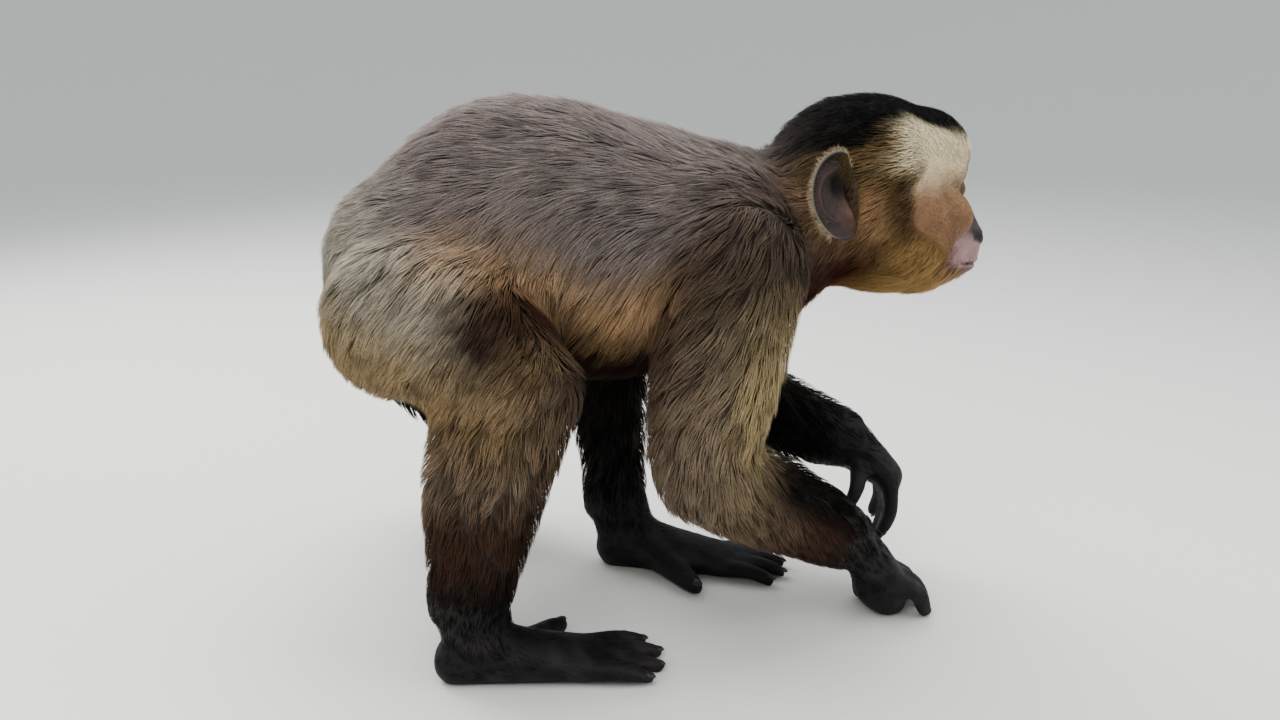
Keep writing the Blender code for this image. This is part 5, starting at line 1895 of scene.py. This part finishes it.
@dataclass
class Nails:
    """Dark curved nails on every finger and toe that shows one."""

    anatomy: Anatomy
    skin: Object
    length: float = 0.0062
    slot: str = "fur_black"

    def build(self) -> Object:
        """Makes all nails as one piece."""
        digits = Digits(self.anatomy)
        tree = BVHTree.FromObject(self.skin, bpy.context.evaluated_depsgraph_get())
        every = digits.leaning() + digits.hanging() + digits.foot(Side.RIGHT) + digits.foot(
            Side.LEFT)
        made = [self.nail(digit, tree) for digit in every]
        deselect_all()
        for nail in made:
            nail.select_set(True)
        bpy.context.view_layer.objects.active = made[0]
        bpy.ops.object.join()
        nails = bpy.context.view_layer.objects.active
        nails.name = nails.data.name = "nails"
        nails.data.materials.clear()
        nails.data.materials.append(self.horn())
        bpy.ops.object.shade_smooth()
        attach(nails, self.slot)
        return nails

    def nail(self, digit: Digit, tree: BVHTree) -> Object:
        """One nail: a thin shield arched across and along, its free end pointing down."""
        aim = unit(digit.tip - digit.start)
        spot = self.anatomy.placed((digit.tip - aim * 0.0006)[None])[0]
        over = Vector(spot + digit.dorsal * 0.010)
        hit = tree.ray_cast(over, Vector(-digit.dorsal), 0.012)[0]
        seat = np.array(hit) if hit is not None else spot + digit.dorsal * digit.radius
        across = np.cross(digit.dorsal, aim)
        deselect_all()
        bpy.ops.mesh.primitive_uv_sphere_add(segments=14, ring_count=9, radius=1.0)
        nail = bpy.context.object
        forward, sideways, high = points_of(nail).T
        wide = digit.radius * 0.66
        half = 0.5 * self.length * digit.radius / 0.0042
        width = wide * (1.0 - 0.38 * smooth(-0.1, 1.0, forward))
        drop = 0.0011 * np.clip(forward, 0, 1) ** 2 + 0.55 * width * sideways ** 2
        points = (seat + np.outer(forward * half + 0.0012, aim) + np.outer(sideways * width, across)
                  + np.outer(high * 0.00042 - drop + 0.0001, digit.dorsal))
        points[:, 2] = np.maximum(points[:, 2], 0.0002)
        set_points(nail, points)
        face_outwards(nail)
        return nail

    def horn(self) -> Material:
        """Dark horn."""
        return Shading("horn", Base_Color=(0.022, 0.018, 0.018, 1.0), Roughness=0.38).material


# ---------------- studio
@dataclass
class Studio:
    """Pale floor, soft light and the camera at the viewer's place."""

    anatomy: Anatomy
    camera_place: Triple = (0.0, -0.563, 0.319)
    camera_tilt: float = math.radians(74.0)
    lens: float = 29.95

    def build(self) -> None:
        """Sets everything up."""
        self.camera()
        self.floor()
        self.lights()

    def camera(self) -> None:
        """Looks at the animal's right side from a little above."""
        data = bpy.data.cameras.new("camera")
        data.lens, data.sensor_width = self.lens, 36.0
        camera = in_scene(data)
        camera.location = self.anatomy.placed(np.array([self.camera_place]))[0]
        camera.location.z = self.camera_place[2]
        camera.rotation_euler = (self.camera_tilt, 0.0, 0.0)
        bpy.context.scene.camera = camera

    def floor(self) -> None:
        """A wide pale floor that curves up into a round wall on every side."""
        bends = [math.radians(angle) for angle in range(-90, 1, 6)]
        profile = [(0.001, 0.0), (1.0, 0.0), (2.0, 0.0)]
        profile += [(2.6 + 1.6 * math.cos(t), 1.6 + 1.6 * math.sin(t)) for t in bends]
        profile.append((4.2, 3.2))
        mesh = bpy.data.meshes.new("floor")
        mesh.from_pydata([(r, 0.0, z) for r, z in profile],
                         [(i, i + 1) for i in range(len(profile) - 1)], [])
        floor = in_scene(mesh)
        activate(floor)
        bpy.ops.object.mode_set(mode="EDIT")
        bpy.ops.mesh.select_all(action="SELECT")
        bpy.ops.mesh.spin(steps=72, angle=2 * math.pi, center=(0.0, 0.0, 0.0),
                          axis=(0.0, 0.0, 1.0))
        bpy.ops.mesh.select_all(action="SELECT")
        bpy.ops.mesh.remove_doubles(threshold=0.0015)
        face_outwards(floor, inside=True)
        bpy.ops.object.shade_smooth()
        floor.data.materials.append(
            Shading("floor", Base_Color=(0.72, 0.72, 0.70, 1.0), Roughness=0.90).material)
        floor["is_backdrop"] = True

    def lights(self) -> None:
        """A broad soft light overhead, a key by the viewer, a rim behind and a pale sky."""
        view = bpy.context.scene.view_settings
        view.look = "AgX - Medium High Contrast"
        world = bpy.data.worlds.new("sky")
        world.use_nodes = True
        back = world.node_tree.nodes["Background"]
        back.inputs["Color"].default_value = (0.90, 0.95, 1.0, 1.0)
        back.inputs["Strength"].default_value = 0.80
        bpy.context.scene.world = world
        plan = (("top", (-0.15, 0.15, 1.35), 1.3, 17.0, (1.0, 0.98, 0.95)),
                ("key", (-0.25, -1.05, 1.10), 0.9, 7.5, (1.0, 0.97, 0.92)),
                ("rim", (-0.90, 0.70, 0.95), 0.8, 9.0, (1.0, 0.99, 0.97)),
                ("front", (1.20, -0.35, 0.70), 0.8, 4.5, (1.0, 0.98, 0.95)))
        for name, spot, size, power, colour in plan:
            data = bpy.data.lights.new(name, "AREA")
            data.size, data.energy, data.color = size, power, colour
            light = in_scene(data)
            light.location = spot
            aim = Vector((0.0, 0.0, 0.15)) - light.location
            light.rotation_euler = aim.to_track_quat("-Z", "Y").to_euler()


def corners(box: tuple[Vector, Vector]) -> list[list[float]]:
    """A box's two corners as plain lists."""
    return [list(corner) for corner in box]


def main() -> None:
    """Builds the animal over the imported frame."""
    logging.basicConfig(level=logging.INFO, format="%(message)s")
    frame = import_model()
    cad_box = corners(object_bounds())
    anatomy = Anatomy()
    markings = Markings(anatomy)
    Studio(anatomy).build()
    skin = Skin(anatomy, markings, frame["nodes"])
    hide = skin.build()
    barber = Barber(anatomy, markings, hide)
    ears = [Ear(anatomy, markings, side) for side in Side]
    for side in Side:
        Eye(anatomy, side).ball()
    Nails(anatomy, hide).build()
    skin.join([ear.build() for ear in ears])
    barber.build(ears)
    {"cad": cad_box, "visual": corners(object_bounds())}


if __name__ == "__main__":
    main()
